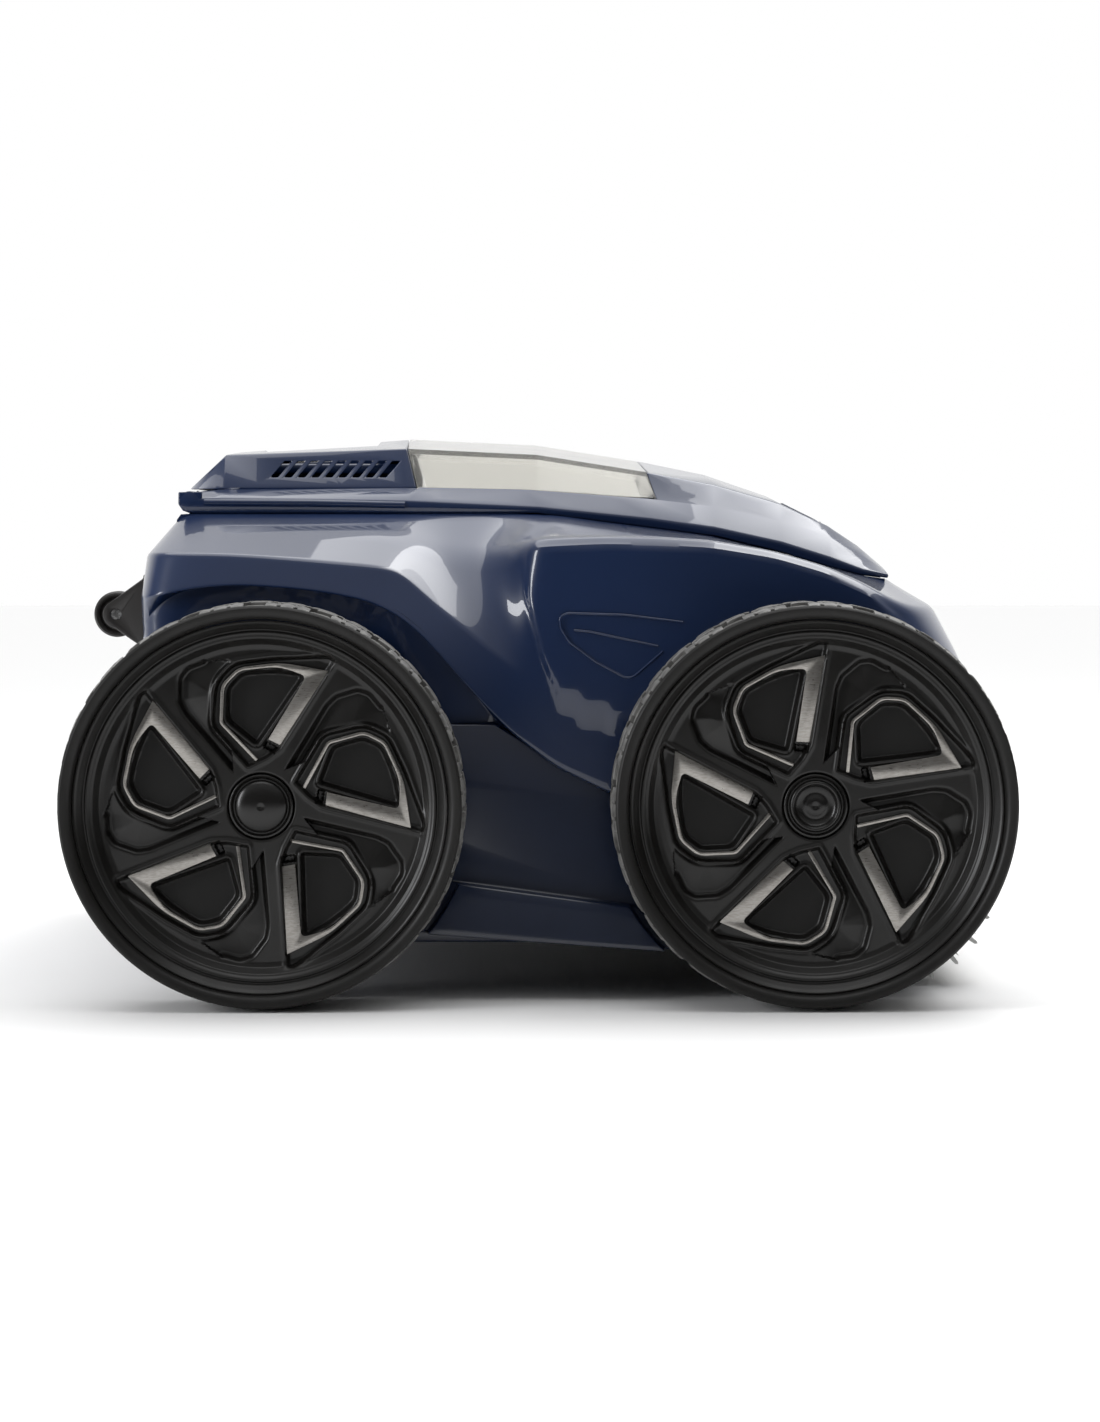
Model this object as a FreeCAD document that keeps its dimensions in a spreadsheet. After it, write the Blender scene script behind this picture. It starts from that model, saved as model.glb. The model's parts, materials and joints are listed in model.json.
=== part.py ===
"""Four-wheel-drive robotic pool cleaner, as an assembly of separate pieces.

Frame: +X is forward (the brush end), +Z is up, the floor is Z = 0, and the origin lies on the
floor midway between the wheels. The robot's right side is at -Y and its left side at +Y.
All lengths are millimetres. "depth" below means the distance from the centre plane, |Y|.
"""
import FreeCAD, Part
import Sketcher
import math
import os
import re

from FreeCAD import Placement, Rotation, Vector

doc = FreeCAD.newDocument("pool_cleaner")

# ---------------------------------------------------------------- driving dimensions
SIZES = [
    # wheels and running gear
    ("wheel_base", 252),        # front axle to rear axle
    ("wheel_radius", 93),       # over the tread, so also the axle height
    ("wheel_width", 52),
    ("half_width", 240),        # centre plane to the wheels' outer faces
    ("wheel_gap", 7),           # hull side to the tyre's inner face
    ("arch_gap", 11),           # tread to the lip of the rear arch
    ("arch_sink", 12),          # fairing side to the wall inside the rear arch
    ("tyre_depth", 11),         # tread to rim seat
    ("dish", 14),               # outer face of the tyre to the wheel disc
    ("disc_wall", 11),          # wheel disc, before its pockets
    ("pocket_sink", 6),
    ("hub_radius", 15),
    ("axle_radius", 7),
    ("running_gap", 0.05),      # radial, shafts in their bushes
    ("bush_wall", 4),
    ("pulley_radius", 18.6),
    ("belt_gap", 0.3),
    ("belt_thickness", 2.2),
    ("belt_width", 7.6),
    ("gear_width", 8),
    # brush and rollers
    ("brush_radius", 45),
    ("brush_lift", 1),          # brush tips to the floor
    ("brush_ahead", 47),        # front axle to brush axis, along X
    ("brush_core_radius", 16),
    ("tunnel_gap", 6),
    ("roller_radius", 11),
    ("roller_width", 12),
    ("roller_depth", 118),      # centre plane to a roller's middle
    ("roller_pin_radius", 2.5),
    # hull and fairing
    ("wall", 3),
    ("hull_floor", 26),         # floor to the hull's flat bottom
    ("bay_width", 29),          # inside of a drive bay
    ("fender_half", 184),       # centre plane to the fairing's side
    ("panel_rise", 2),          # how far the fender panel stands out of the side
    ("seam_rise", 133),         # axle to the lid seam at the rear
    ("lid_half", 112),          # centre plane to the lid's side
    ("lid_wall", 2.6),
    ("lid_gap", 0.6),           # fairing to lid
    ("hinge_radius", 5.2),
    ("hinge_pin_radius", 2),
    ("latch_travel", 4),
    # inside
    ("duct_bore", 43),
    ("filter_half", 78),
    ("screw_radius", 2.5),
    ("gland_bore", 4.5),
]

sheet = doc.addObject("Spreadsheet::Sheet", "sizes")
for row, (alias, value) in enumerate(SIZES, start=1):
    sheet.set(f"A{row}", alias)
    sheet.set(f"B{row}", str(value))
    sheet.setAlias(f"B{row}", alias)
doc.recompute()

ALIASES = re.compile(r"\b(" + "|".join(alias for alias, _ in SIZES) + r")\b")

# places that many pieces share, as expressions of the driving dimensions
FRONT = "(wheel_base / 2)"
REAR = "(0 - wheel_base / 2)"
AXLE = "wheel_radius"
HULL = "(half_width - wheel_width - wheel_gap)"
BULKHEAD = f"({HULL} - wall - bay_width)"
SEAM = "(wheel_radius + seam_rise)"
BRUSH_X = f"({FRONT} + brush_ahead)"
BRUSH_Z = "(brush_radius + brush_lift)"
PUMP_X = f"({REAR} + 9)"
HINGE_X = f"({REAR} - 42)"
HINGE_Z = f"({SEAM} + 6)"
ROLLER_X = f"({REAR} - 76)"
ROLLER_Z = "(wheel_radius + 85)"
RIM_SEAT = "(wheel_radius - tyre_depth)"

SIDES = {"right": -1, "left": 1}
ENDS = {"front": 1, "rear": -1}
pieces = {}


def linked(expression):
    """The expression with every size's name pointing at its cell in the sheet."""
    return ALIASES.sub(r"sizes.\1", str(expression))


def bind(piece, **properties):
    for name, expression in properties.items():
        piece.setExpression(name.replace("__", "."), linked(expression))


def size(alias):
    return float(getattr(sheet, alias))


def place(piece, x=0, y=0, z=0, turn=None):
    if turn:
        piece.Placement = Placement(Vector(), Rotation(Vector(*turn[0]), turn[1]))
    bind(piece, Placement__Base__x=x, Placement__Base__y=y, Placement__Base__z=z)
    return piece


def keep(label, piece):
    """Marks a finished piece: its label names its file."""
    piece.Label = label
    pieces[label] = piece
    return piece


# ---------------------------------------------------------------- building helpers
def outline(body, role, points, offset=0):
    """A closed sketch on one of the body's origin planes, each corner bound to the sheet."""
    sketch = body.newObject("Sketcher::SketchObject", "outline")
    plane = [f for f in body.Origin.OriginFeatures if f.Role == role][0]
    sketch.AttachmentSupport = [(plane, "")]
    sketch.MapMode = "FlatFace"
    bind(sketch, AttachmentOffset__Base__z=offset)
    count = len(points)
    rough = [Vector(50 * math.cos(2 * math.pi * i / count), 50 * math.sin(2 * math.pi * i / count))
             for i in range(count)]
    for i in range(count):
        sketch.addGeometry(Part.LineSegment(rough[i], rough[(i + 1) % count]))
    for i in range(count):
        sketch.addConstraint(Sketcher.Constraint("Coincident", i, 2, (i + 1) % count, 1))
    for i, corner in enumerate(points):
        for kind, value, expression in (("DistanceX", rough[i].x, corner[0]),
                                        ("DistanceY", rough[i].y, corner[1])):
            number = sketch.addConstraint(Sketcher.Constraint(kind, -1, 1, i, 1, value))
            sketch.setExpression(f"Constraints[{number}]", linked(expression))
    return sketch


def prism(name, points, low, high):
    """A body with this side view (X, Z), from Y = low to Y = high."""
    body = doc.addObject("PartDesign::Body", name)
    sketch = outline(body, "XZ_Plane", points, f"0 - ({high})")
    pad = body.newObject("PartDesign::Pad", "pad")
    pad.Profile = sketch
    bind(pad, Length=f"({high}) - ({low})")
    return body


def cross_prism(name, points, low, high):
    """A body with this end view (Y, Z), from X = low to X = high."""
    body = doc.addObject("PartDesign::Body", name)
    sketch = outline(body, "YZ_Plane", points, low)
    pad = body.newObject("PartDesign::Pad", "pad")
    pad.Profile = sketch
    bind(pad, Length=f"({high}) - ({low})")
    return body


def turned(name, profile):
    """A body turned about the Y axis from a half section of (radius, Y) corners."""
    body = doc.addObject("PartDesign::Body", name)
    sketch = outline(body, "XY_Plane", profile)
    turn = body.newObject("PartDesign::Revolution", "turn")
    turn.Profile = sketch
    turn.ReferenceAxis = (sketch, ["V_Axis"])
    turn.Angle = 360
    return body


def box(name, x0, x1, y0, y1, z0, z1):
    piece = doc.addObject("Part::Box", name)
    bind(piece, Length=f"({x1}) - ({x0})", Width=f"({y1}) - ({y0})", Height=f"({z1}) - ({z0})")
    return place(piece, x0, y0, z0)


def rod(name, radius, low, high, x, z):
    """A cylinder along Y from low to high."""
    piece = doc.addObject("Part::Cylinder", name)
    bind(piece, Radius=radius, Height=f"({high}) - ({low})")
    return place(piece, x, low, z, turn=((1, 0, 0), -90))


def post(name, radius, low, high, x, y):
    """A cylinder along Z from low to high."""
    piece = doc.addObject("Part::Cylinder", name)
    bind(piece, Radius=radius, Height=f"({high}) - ({low})")
    return place(piece, x, y, low)


def fuse(name, shapes):
    piece = doc.addObject("Part::MultiFuse", name)
    piece.Shapes = shapes
    piece.Refine = True
    return piece


def cut(name, base, tools):
    piece = doc.addObject("Part::Cut", name)
    piece.Base = base
    piece.Tool = tools[0] if len(tools) == 1 else fuse(name + "_tools", tools)
    return piece


def common(name, first, second):
    piece = doc.addObject("Part::Common", name)
    piece.Base = first
    piece.Tool = second
    return piece


def group(name, shapes):
    piece = doc.addObject("Part::Compound", name)
    piece.Links = shapes
    return piece


def span(side, near, far):
    """(low, high) along Y of a stretch from depth near to depth far on one side."""
    return (near, far) if side > 0 else (f"0 - ({far})", f"0 - ({near})")


def both_sides(maker):
    return [maker(name, side) for name, side in SIDES.items()]


# ---------------------------------------------------------------- wheels
# Corners of one pocket of the wheel disc, as shares of the wheel radius, from the end of the
# thin trim beside the hub, round the rim side and back down the broad trim.
POCKET = [(-0.045, 0.206), (-0.215, 0.401), (-0.209, 0.600), (-0.188, 0.651), (-0.118, 0.692),
          (0.000, 0.716), (0.108, 0.710), (0.237, 0.686), (0.339, 0.660), (0.097, 0.296)]
POCKET_FOOT = [(0.055, 0.236)]
TRIM_INNER = [(0.032, 0.324), (0.245, 0.664), (0.105, 0.692), (0.000, 0.698), (-0.112, 0.675),
              (-0.172, 0.640), (-0.191, 0.597), (-0.197, 0.407), (-0.032, 0.220)]
POCKETS = 5
WHEEL_PHASE = {"front": 23, "rear": 0}   # how far the disc pattern is turned, degrees


def of_radius(corners):
    return [(f"{x} * wheel_radius", f"{z} * wheel_radius") for x, z in corners]


def spin(body, feature, source):
    """Repeats a feature of a turned body round the Y axis, once for each pocket."""
    pattern = body.newObject("PartDesign::PolarPattern", "round")
    pattern.Originals = [feature]
    pattern.Axis = (source, ["N_Axis"])
    pattern.Angle = 360
    pattern.Occurrences = POCKETS
    body.Tip = pattern
    return pattern


def on_axle(body, end, side):
    """Puts a piece made about the Y axis, outer face at Y = 0, on its axle."""
    phase = WHEEL_PHASE[end]
    turn = Rotation(Vector(0, 0, 1), 180 if side > 0 else 0)
    body.Placement = Placement(Vector(), turn * Rotation(Vector(0, 1, 0), -phase))
    bind(body, Placement__Base__x=f"{ENDS[end]} * wheel_base / 2",
         Placement__Base__y=f"{side} * half_width", Placement__Base__z=AXLE)
    return body


def tyre(name):
    return turned(name, [
        (f"{RIM_SEAT} + 2", "1.5"), (f"{RIM_SEAT} + 4", "0"), ("wheel_radius - 2.3", "0"),
        ("wheel_radius", "5"), ("wheel_radius", "wheel_width - 5"),
        ("wheel_radius - 2.3", "wheel_width"), (f"{RIM_SEAT} + 2", "wheel_width"),
        (RIM_SEAT, "wheel_width - 3"), (RIM_SEAT, "3")])


def wheel(name):
    body = turned(name, [
        ("axle_radius", "dish"), ("wheel_radius * 0.79", "dish"), (f"{RIM_SEAT} - 3", "5"),
        (RIM_SEAT, "3"), (RIM_SEAT, "wheel_width - 3"), (f"{RIM_SEAT} - 3", "wheel_width - 3"),
        (f"{RIM_SEAT} - 3", "dish + disc_wall"), ("hub_radius", "dish + disc_wall"),
        ("hub_radius", "wheel_width - 6"), ("axle_radius", "wheel_width - 6")])
    doc.recompute()
    sketch = outline(body, "XZ_Plane", of_radius(POCKET + POCKET_FOOT), "0 - dish")
    pocket = body.newObject("PartDesign::Pocket", "pocket")
    pocket.Profile = sketch
    bind(pocket, Length="pocket_sink")
    body.Tip = pocket
    spin(body, pocket, sketch)
    return body


def trim(name):
    """The bright insert of each pocket: a broad leg, a sharp corner and a thin line."""
    body = doc.addObject("PartDesign::Body", name)
    sketch = outline(body, "XZ_Plane", of_radius(POCKET + TRIM_INNER), "0 - dish - pocket_sink")
    pad = body.newObject("PartDesign::Pad", "pad")
    pad.Profile = sketch
    bind(pad, Length="pocket_sink - 0.6")
    spin(body, pad, sketch)
    return body


def hub_cap(name):
    return turned(name, [
        ("0", "dish - 4"), ("hub_radius - 4", "dish - 3"), ("hub_radius - 2.5", "dish - 1.5"),
        ("hub_radius - 1", "dish - 2.5"), ("hub_radius", "dish"), ("0", "dish")])


def drive_axle(name):
    """Shaft and belt pulley in one moulding; its outer end stops behind the hub cap."""
    inner = f"(half_width - {BULKHEAD} + wall + 5)"
    pulley = f"(half_width - {HULL} + wall + 2)"
    lip = "(pulley_radius + belt_thickness + 1)"
    return turned(name, [
        ("0", "dish + 0.2"), ("axle_radius", "dish + 0.2"), ("axle_radius", pulley),
        (lip, pulley), (lip, f"{pulley} + 1.5"), ("pulley_radius", f"{pulley} + 1.5"),
        ("pulley_radius", f"{pulley} + belt_width + 2.1"), (lip, f"{pulley} + belt_width + 2.1"),
        (lip, f"{pulley} + belt_width + 3.6"), ("axle_radius", f"{pulley} + belt_width + 3.6"),
        ("axle_radius", inner), ("0", inner)])


for end in ENDS:
    for side_name, side in SIDES.items():
        corner = f"{side_name}_{end}"
        for kind, maker in (("tyre", tyre), ("wheel", wheel), ("wheel_trim", trim),
                            ("hub_cap", hub_cap), ("drive_axle", drive_axle)):
            keep(f"{corner}_{kind}", on_axle(maker(f"{corner}_{kind}"), end, side))

# ---------------------------------------------------------------- gears
AXLE_TEETH = 36
BRUSH_TEETH = 14
PINION_TEETH = 12
PINION_ANGLE = 160     # from the front axle to the motor shaft, degrees above +X
PRESSURE = math.radians(20)
ADDENDUM = 0.8         # tooth height above the pitch circle, in modules
DEDENDUM = 1.1
BACKLASH = 0.14        # taken off each tooth's thickness, in modules
FLANK_POINTS = 5

axle_x = size("wheel_base") / 2
axle_z = size("wheel_radius")
brush_z = size("brush_radius") + size("brush_lift")
centre_distance = math.hypot(size("brush_ahead"), axle_z - brush_z)
module = 2 * centre_distance / (AXLE_TEETH + BRUSH_TEETH)
pinion_distance = module * (AXLE_TEETH + PINION_TEETH) / 2
PINION_X = axle_x + pinion_distance * math.cos(math.radians(PINION_ANGLE))
PINION_Z = axle_z + pinion_distance * math.sin(math.radians(PINION_ANGLE))
BRUSH_ANGLE = math.degrees(math.atan2(brush_z - axle_z, size("brush_ahead")))
hull = size("half_width") - size("wheel_width") - size("wheel_gap")
bulkhead = hull - size("wall") - size("bay_width")
gear_depth = bulkhead + 4


def involute(angle):
    return math.tan(angle) - angle


def gear_face(teeth, bore, phase):
    """A spur gear's outline in the XZ plane, with a tooth centred at the phase angle."""
    pitch = module * teeth / 2
    base = pitch * math.cos(PRESSURE)
    root, tip = pitch - DEDENDUM * module, pitch + ADDENDUM * module
    half = (math.pi / 2 - BACKLASH) / teeth + involute(PRESSURE)
    corners = []
    for tooth in range(teeth):
        middle = math.radians(phase) + 2 * math.pi * tooth / teeth
        flank = []
        for i in range(FLANK_POINTS):
            start = max(base, root)
            radius = start + (tip - start) * i / (FLANK_POINTS - 1)
            flank.append((radius, half - involute(math.acos(min(1, base / radius)))))
        flank.insert(0, (root, flank[0][1]))
        ring = [(r, middle - a) for r, a in flank] + [(r, middle + a) for r, a in reversed(flank)]
        corners += [Vector(r * math.cos(a), 0, r * math.sin(a)) for r, a in ring]
    clean = [corners[0]]
    for corner_point in corners[1:]:
        if (corner_point - clean[-1]).Length > 1e-4:
            clean.append(corner_point)
    face = Part.Face(Part.makePolygon(clean + [clean[0]]))
    if bore:
        hole = Part.Face(Part.Wire(Part.makeCircle(bore, Vector(), Vector(0, 1, 0))))
        face = face.cut(hole)
    return face


def gear_solid(teeth, bore, phase, x, z, side, width):
    face = gear_face(teeth, bore, phase)
    face.translate(Vector(x, gear_depth if side > 0 else -gear_depth - width, z))
    return face.extrude(Vector(0, width, 0))


def round_bar(radius, near, far, x, z, side):
    low = near if side > 0 else -far
    return Part.makeCylinder(radius, far - near, Vector(x, low, z), Vector(0, 1, 0))


def shaped(label, shape):
    piece = doc.addObject("Part::Feature", label)
    piece.Shape = shape
    return keep(label, piece)


def meshing_phase(driver_phase, driver_teeth, teeth, angle):
    """The phase that puts a gap of the second gear on a tooth of the first, along the angle."""
    lead = (angle - driver_phase) * driver_teeth / teeth
    return angle + 180 + lead + 180 / teeth


for side_name, side in SIDES.items():
    width = size("gear_width")
    shaped(f"{side_name}_axle_gear",
           gear_solid(AXLE_TEETH, size("axle_radius"), 0, axle_x, axle_z, side, width))
    phase = meshing_phase(0, AXLE_TEETH, PINION_TEETH, PINION_ANGLE)
    pinion = gear_solid(PINION_TEETH, 0, phase, PINION_X, PINION_Z, side, width)
    shaft = round_bar(4, bulkhead - 20, gear_depth, PINION_X, PINION_Z, side)
    shaped(f"{side_name}_motor_pinion", pinion.fuse(shaft))

# ---------------------------------------------------------------- drive belts, bushes, motors
def stadium(name, radius, low, high):
    """A slab as wide as two axle-centred discs and what lies between them."""
    return fuse(name, [
        rod(name + "_front", radius, low, high, FRONT, AXLE),
        rod(name + "_rear", radius, low, high, REAR, AXLE),
        box(name + "_middle", REAR, FRONT, low, high, f"{AXLE} - ({radius})",
            f"{AXLE} + ({radius})")])


for side_name, side in SIDES.items():
    near = f"{HULL} - wall - 2 - 1.8 - belt_width"
    low, high = span(side, near, f"{near} + belt_width")
    inside = "pulley_radius + belt_gap"
    keep(f"{side_name}_drive_belt", cut(f"{side_name}_drive_belt", stadium(
        f"{side_name}_belt_outer", f"{inside} + belt_thickness", low, high),
        [stadium(f"{side_name}_belt_inner", inside, f"{low} - 1", f"{high} + 1")]))


def bush(name, x, side, near, far):
    low, high = span(side, near, far)
    return cut(name, rod(name + "_body", "axle_radius + bush_wall", low, high, x, AXLE),
               [rod(name + "_bore", "axle_radius + running_gap", f"{low} - 1", f"{high} + 1",
                    x, AXLE)])


bushes = []
for side_name, side in SIDES.items():
    for end, x in (("front", FRONT), ("rear", REAR)):
        bushes.append(bush(f"{side_name}_{end}_outer_bush", x, side,
                           f"{HULL} - wall - 0.5", f"{HULL} + 2"))
        bushes.append(bush(f"{side_name}_{end}_inner_bush", x, side,
                           f"{BULKHEAD} - wall - 1", f"{BULKHEAD} + 1.5"))
keep("axle_bushes", group("axle_bushes", bushes))


def drive_motor(label, side):
    low, high = span(side, f"{BULKHEAD} - wall - 53", f"{BULKHEAD} - wall")
    shaft_low, shaft_high = span(side, f"{BULKHEAD} - wall - 19", f"{BULKHEAD}")
    can = rod(f"{label}_can", 18, low, high, PINION_X, PINION_Z)
    bore = rod(f"{label}_bore", "4 + running_gap", shaft_low, shaft_high, PINION_X, PINION_Z)
    return keep(label, cut(label, can, [bore]))


both_sides(lambda name, side: drive_motor(f"{name}_drive_motor", side))

# ---------------------------------------------------------------- brush
BLADES = 7


def brush_half(side_name, side):
    """The core tube with its moulded gear, and the ring of soft blades round it."""
    x = axle_x + size("brush_ahead")
    core_radius, end_depth = size("brush_core_radius"), bulkhead - size("wall") - 4
    core = round_bar(core_radius, 4, end_depth, x, brush_z, side)
    core = core.cut(round_bar(5 + size("running_gap"), 3, 18, x, brush_z, side))
    core = core.fuse(round_bar(6, end_depth, gear_depth, x, brush_z, side))
    phase = meshing_phase(0, AXLE_TEETH, BRUSH_TEETH, BRUSH_ANGLE)
    core = core.fuse(gear_solid(BRUSH_TEETH, 0, phase, x, brush_z, side, size("gear_width")))
    shaped(f"{side_name}_brush_core", core)
    near, far = 7, end_depth - 3
    sleeve = round_bar(core_radius + 2, near, far, x, brush_z, side)
    for i in range(BLADES):
        blade = Part.makeBox(size("brush_radius") - core_radius, far - near, 2,
                             Vector(core_radius, near if side > 0 else -far, -1))
        blade.rotate(Vector(), Vector(0, 1, 0), -360 / BLADES * i - 12)
        blade.translate(Vector(x, 0, brush_z))
        sleeve = sleeve.fuse(blade)
    rim = round_bar(size("brush_radius"), near - 1, far + 1, x, brush_z, side)
    sleeve = sleeve.common(rim).cut(round_bar(core_radius, near - 1, far + 1, x, brush_z, side))
    shaped(f"{side_name}_brush_blades", sleeve)


for side_name, side in SIDES.items():
    brush_half(side_name, side)

# ---------------------------------------------------------------- hull
# Side view of the parting line between hull and fairing, rear to front.
PARTING = [(f"{REAR} - 64", f"{AXLE} + 35"), (f"{REAR} + 106", f"{AXLE} + 35"),
           (f"{FRONT} - 88", AXLE), (f"{FRONT} - 70", AXLE), (f"{FRONT} - 54", f"{AXLE} + 20"),
           (f"{FRONT} + 86", f"{AXLE} + 20")]
FLOOR = "hull_floor"


def hull_side(inset):
    """The hull's side view, its walls moved inwards by the inset, open upwards if inset."""
    lift = f"{inset}"
    top = [(x, f"{z} - 0.1") for x, z in PARTING]
    if inset != "0":
        top = [(f"{REAR} - 64 + {inset}", f"{AXLE} + 60"), (f"{FRONT} + 86 - {inset}", f"{AXLE} + 60")]
    lower = [(f"{FRONT} + 86 - {lift}", f"{AXLE} - 4"),
             (f"{FRONT} + 76 - {lift}", f"{AXLE} - 33"),
             (f"{FRONT} + 73 - {lift}", f"{FLOOR} + 6 + {lift} / 2"),
             (f"{FRONT} + 58 - {lift} / 2", f"{FLOOR} - 7 + {lift}"),
             (f"{FRONT} + 24", f"{FLOOR} - 7 + {lift}"), (f"{FRONT} + 14", f"{FLOOR} + {lift}"),
             (f"{REAR} - 36 + {lift}", f"{FLOOR} + {lift}"),
             (f"{REAR} - 39 + {lift}", f"{FLOOR} + 8 + {lift}"),
             (f"{REAR} - 54 + {lift}", f"{AXLE} - 33")]
    return top + lower


def axle_holes(name):
    return [rod(f"{name}_{end}", "axle_radius + bush_wall", "0 - half_width", "half_width", x, AXLE)
            for end, x in (("front", FRONT), ("rear", REAR))]


skirt_side = [(f"{REAR} + 72", "hull_floor + 5"), (f"{FRONT} - 58", "hull_floor - 4"),
              (f"{FRONT} - 80", "hull_floor + 17"), (f"{REAR} + 84", "hull_floor + 29")]


def skirt(name, side):
    """The rocker between the wheels, flared outwards and cut clear of the tyres."""
    low, high = span(side, f"{HULL} - wall", f"{HULL} + 13")
    block = prism(name, skirt_side, low, high)
    clear_low, clear_high = span(side, f"{HULL} + 1", f"{HULL} + 20")
    return cut(f"{name}_trimmed", block, [
        rod(f"{name}_clear_{end}", "wheel_radius + 4", clear_low, clear_high, x, AXLE)
        for end, x in (("front", FRONT), ("rear", REAR))])


hull_outer = prism("hull_outer", hull_side("0"), f"0 - {HULL}", HULL)
tunnel = rod("tunnel", "brush_radius + tunnel_gap", f"wall * 2 - {BULKHEAD}",
             f"{BULKHEAD} - wall * 2", BRUSH_X, BRUSH_Z)
middle = cut("hull_middle", prism("hull_cavity", hull_side("wall"), f"wall - {BULKHEAD}",
                                  f"{BULKHEAD} - wall"),
             [rod("tunnel_wall", "brush_radius + tunnel_gap + wall", "0 - half_width",
                  "half_width", BRUSH_X, BRUSH_Z)])
bays = [prism(f"{name}_bay", hull_side("wall"), *span(side, BULKHEAD, f"{HULL} - wall"))
        for name, side in SIDES.items()]
motor_holes = rod("motor_holes", "6", f"0 - {BULKHEAD} - 1", f"{BULKHEAD} + 1", PINION_X, PINION_Z)
brush_holes = rod("brush_holes", "6 + running_gap", f"0 - {BULKHEAD} - 1", f"{BULKHEAD} + 1",
                  BRUSH_X, BRUSH_Z)
bottom_hole = box("bottom_hole", f"{FRONT} - 150", f"{FRONT} - 42", "-90", "90", "0",
                  f"{FLOOR} + wall + 1")
hull_body = fuse("hull_body", [hull_outer] + both_sides(lambda n, s: skirt(f"{n}_skirt", s)))
keep("lower_hull", cut("lower_hull", hull_body, [tunnel, middle, *bays, *axle_holes("hull_hole"),
                                                 motor_holes, brush_holes, bottom_hole]))

# ---------------------------------------------------------------- suction cover under the hull
cover_plate = box("cover_plate", f"{FRONT} - 158", f"{FRONT} - 34", "-98", "98",
                  f"{FLOOR} - 3", FLOOR)
slot = box("suction_slot", f"{FRONT} - 90", f"{FRONT} - 66", "-64", "64", "0", "hull_floor + 40")
cover_rib = box("cover_rib", f"{FRONT} - 96", f"{FRONT} - 60", "-70", "70", FLOOR, f"{FLOOR} + 7")
keep("suction_cover", cut("suction_cover", fuse("cover_body", [cover_plate, cover_rib]), [slot]))

# ---------------------------------------------------------------- brush middle bearing
bracket_arm = prism("bracket_arm", [
    (f"{BRUSH_X} - 8", f"{BRUSH_Z}"), (f"{BRUSH_X} + 8", f"{BRUSH_Z}"),
    (f"{BRUSH_X} + 10", f"{BRUSH_Z} + brush_radius + tunnel_gap + 2"),
    (f"{BRUSH_X} - 10", f"{BRUSH_Z} + brush_radius + tunnel_gap + 2")], "-2", "2")
bracket_reach = rod("bracket_reach", "brush_radius + tunnel_gap", "-2", "2", BRUSH_X, BRUSH_Z)
keep("brush_bracket", fuse("brush_bracket", [
    common("bracket_arm_trimmed", bracket_arm, bracket_reach), rod("bracket_eye", 8, "-2", "2", BRUSH_X, BRUSH_Z),
    rod("bracket_pin", 5, "-16", "16", BRUSH_X, BRUSH_Z)]))

# ---------------------------------------------------------------- fairing
# Side view of the seam under the lid, rear to front, as (from an axle, above the rear seam).
SEAM_LINE = [(f"{REAR} - 46", SEAM), (f"{REAR} + 126", SEAM), (f"{FRONT} - 74", f"{SEAM} - 6.5"), (f"{FRONT} - 42", f"{SEAM} - 10.5"),
             (f"{FRONT} - 9", f"{SEAM} - 18.5"), (f"{FRONT} + 23", f"{SEAM} - 28.5"),
             (f"{FRONT} + 37", f"{SEAM} - 31")]


def fairing_side(inset):
    top = [(x, f"{z} - {inset}") for x, z in SEAM_LINE]
    top[0] = (f"{REAR} - 46 + {inset} / 2", f"{SEAM} - {inset}")
    front = [(f"{FRONT} + 46 - {inset}", f"{SEAM} - 31 - {inset} / 2"),
             (f"{FRONT} + 64 - {inset}", f"{SEAM} - 41 - {inset} / 2"),
             (f"{FRONT} + 78 - {inset}", f"{SEAM} - 54 - {inset} / 2"),
             (f"{FRONT} + 85 - {inset}", f"{SEAM} - 74"), (f"{FRONT} + 87 - {inset}", f"{SEAM} - 101")]
    rear = [(f"{REAR} - 62 + {inset}", f"{SEAM} - 66"), (f"{REAR} - 60 + {inset}", f"{SEAM} - 19")]
    seam = [(x, z) for x, z in reversed(PARTING)]
    if inset == "0":
        return top + front + seam + rear
    return top + front + [(f"{FRONT} + 86 - {inset}", f"{AXLE} - 20"),
                          (f"{REAR} - 64 + {inset}", f"{AXLE} - 20")] + rear


def shoulders(inset):
    """End view that bounds the fairing: flat sides and shoulders sloping up to the lid."""
    half = f"fender_half - {inset}"
    return [(f"0 - ({half})", "0"), (half, "0"), (half, f"{SEAM} - 12 - {inset}"),
            ("lid_half + 2", f"{SEAM} + 1 - {inset}"), ("0 - lid_half - 2", f"{SEAM} + 1 - {inset}"),
            (f"0 - ({half})", f"{SEAM} - 12 - {inset}")]


def rear_bevels(name, inset):
    """What the lower, twice-creased shoulders over the rear wheels take off the fairing."""
    tools = []
    reach = [(f"{REAR} - 90", f"{SEAM} + 20"), (f"{REAR} - 90", AXLE), (f"{REAR} + 150", AXLE),
             (f"{REAR} + 134 + {inset} * 1.5", f"{SEAM} - 89"),
             (f"{REAR} + 57 + {inset} * 1.5", f"{SEAM} - 25"),
             (f"{REAR} + 40 + {inset} * 1.5", f"{SEAM} + 20")]
    for side_name, side in SIDES.items():
        corners = [(f"{side} * (lid_half + 2)", f"{SEAM} + 1 - {inset}"),
                   (f"{side} * (fender_half - 24)", f"{SEAM} - 19 - {inset}"),
                   (f"{side} * (fender_half - {inset})", f"{SEAM} - 40 - {inset}"),
                   (f"{side} * (fender_half + 20)", f"{SEAM} - 40 - {inset}"),
                   (f"{side} * (fender_half + 20)", f"{SEAM} + 30")]
        tools.append(common(f"{name}_{side_name}_bevel",
                            cross_prism(f"{name}_{side_name}_end", corners, f"{REAR} - 90", FRONT),
                            prism(f"{name}_{side_name}_reach", reach, "0 - half_width", "half_width")))
    return tools


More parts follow.
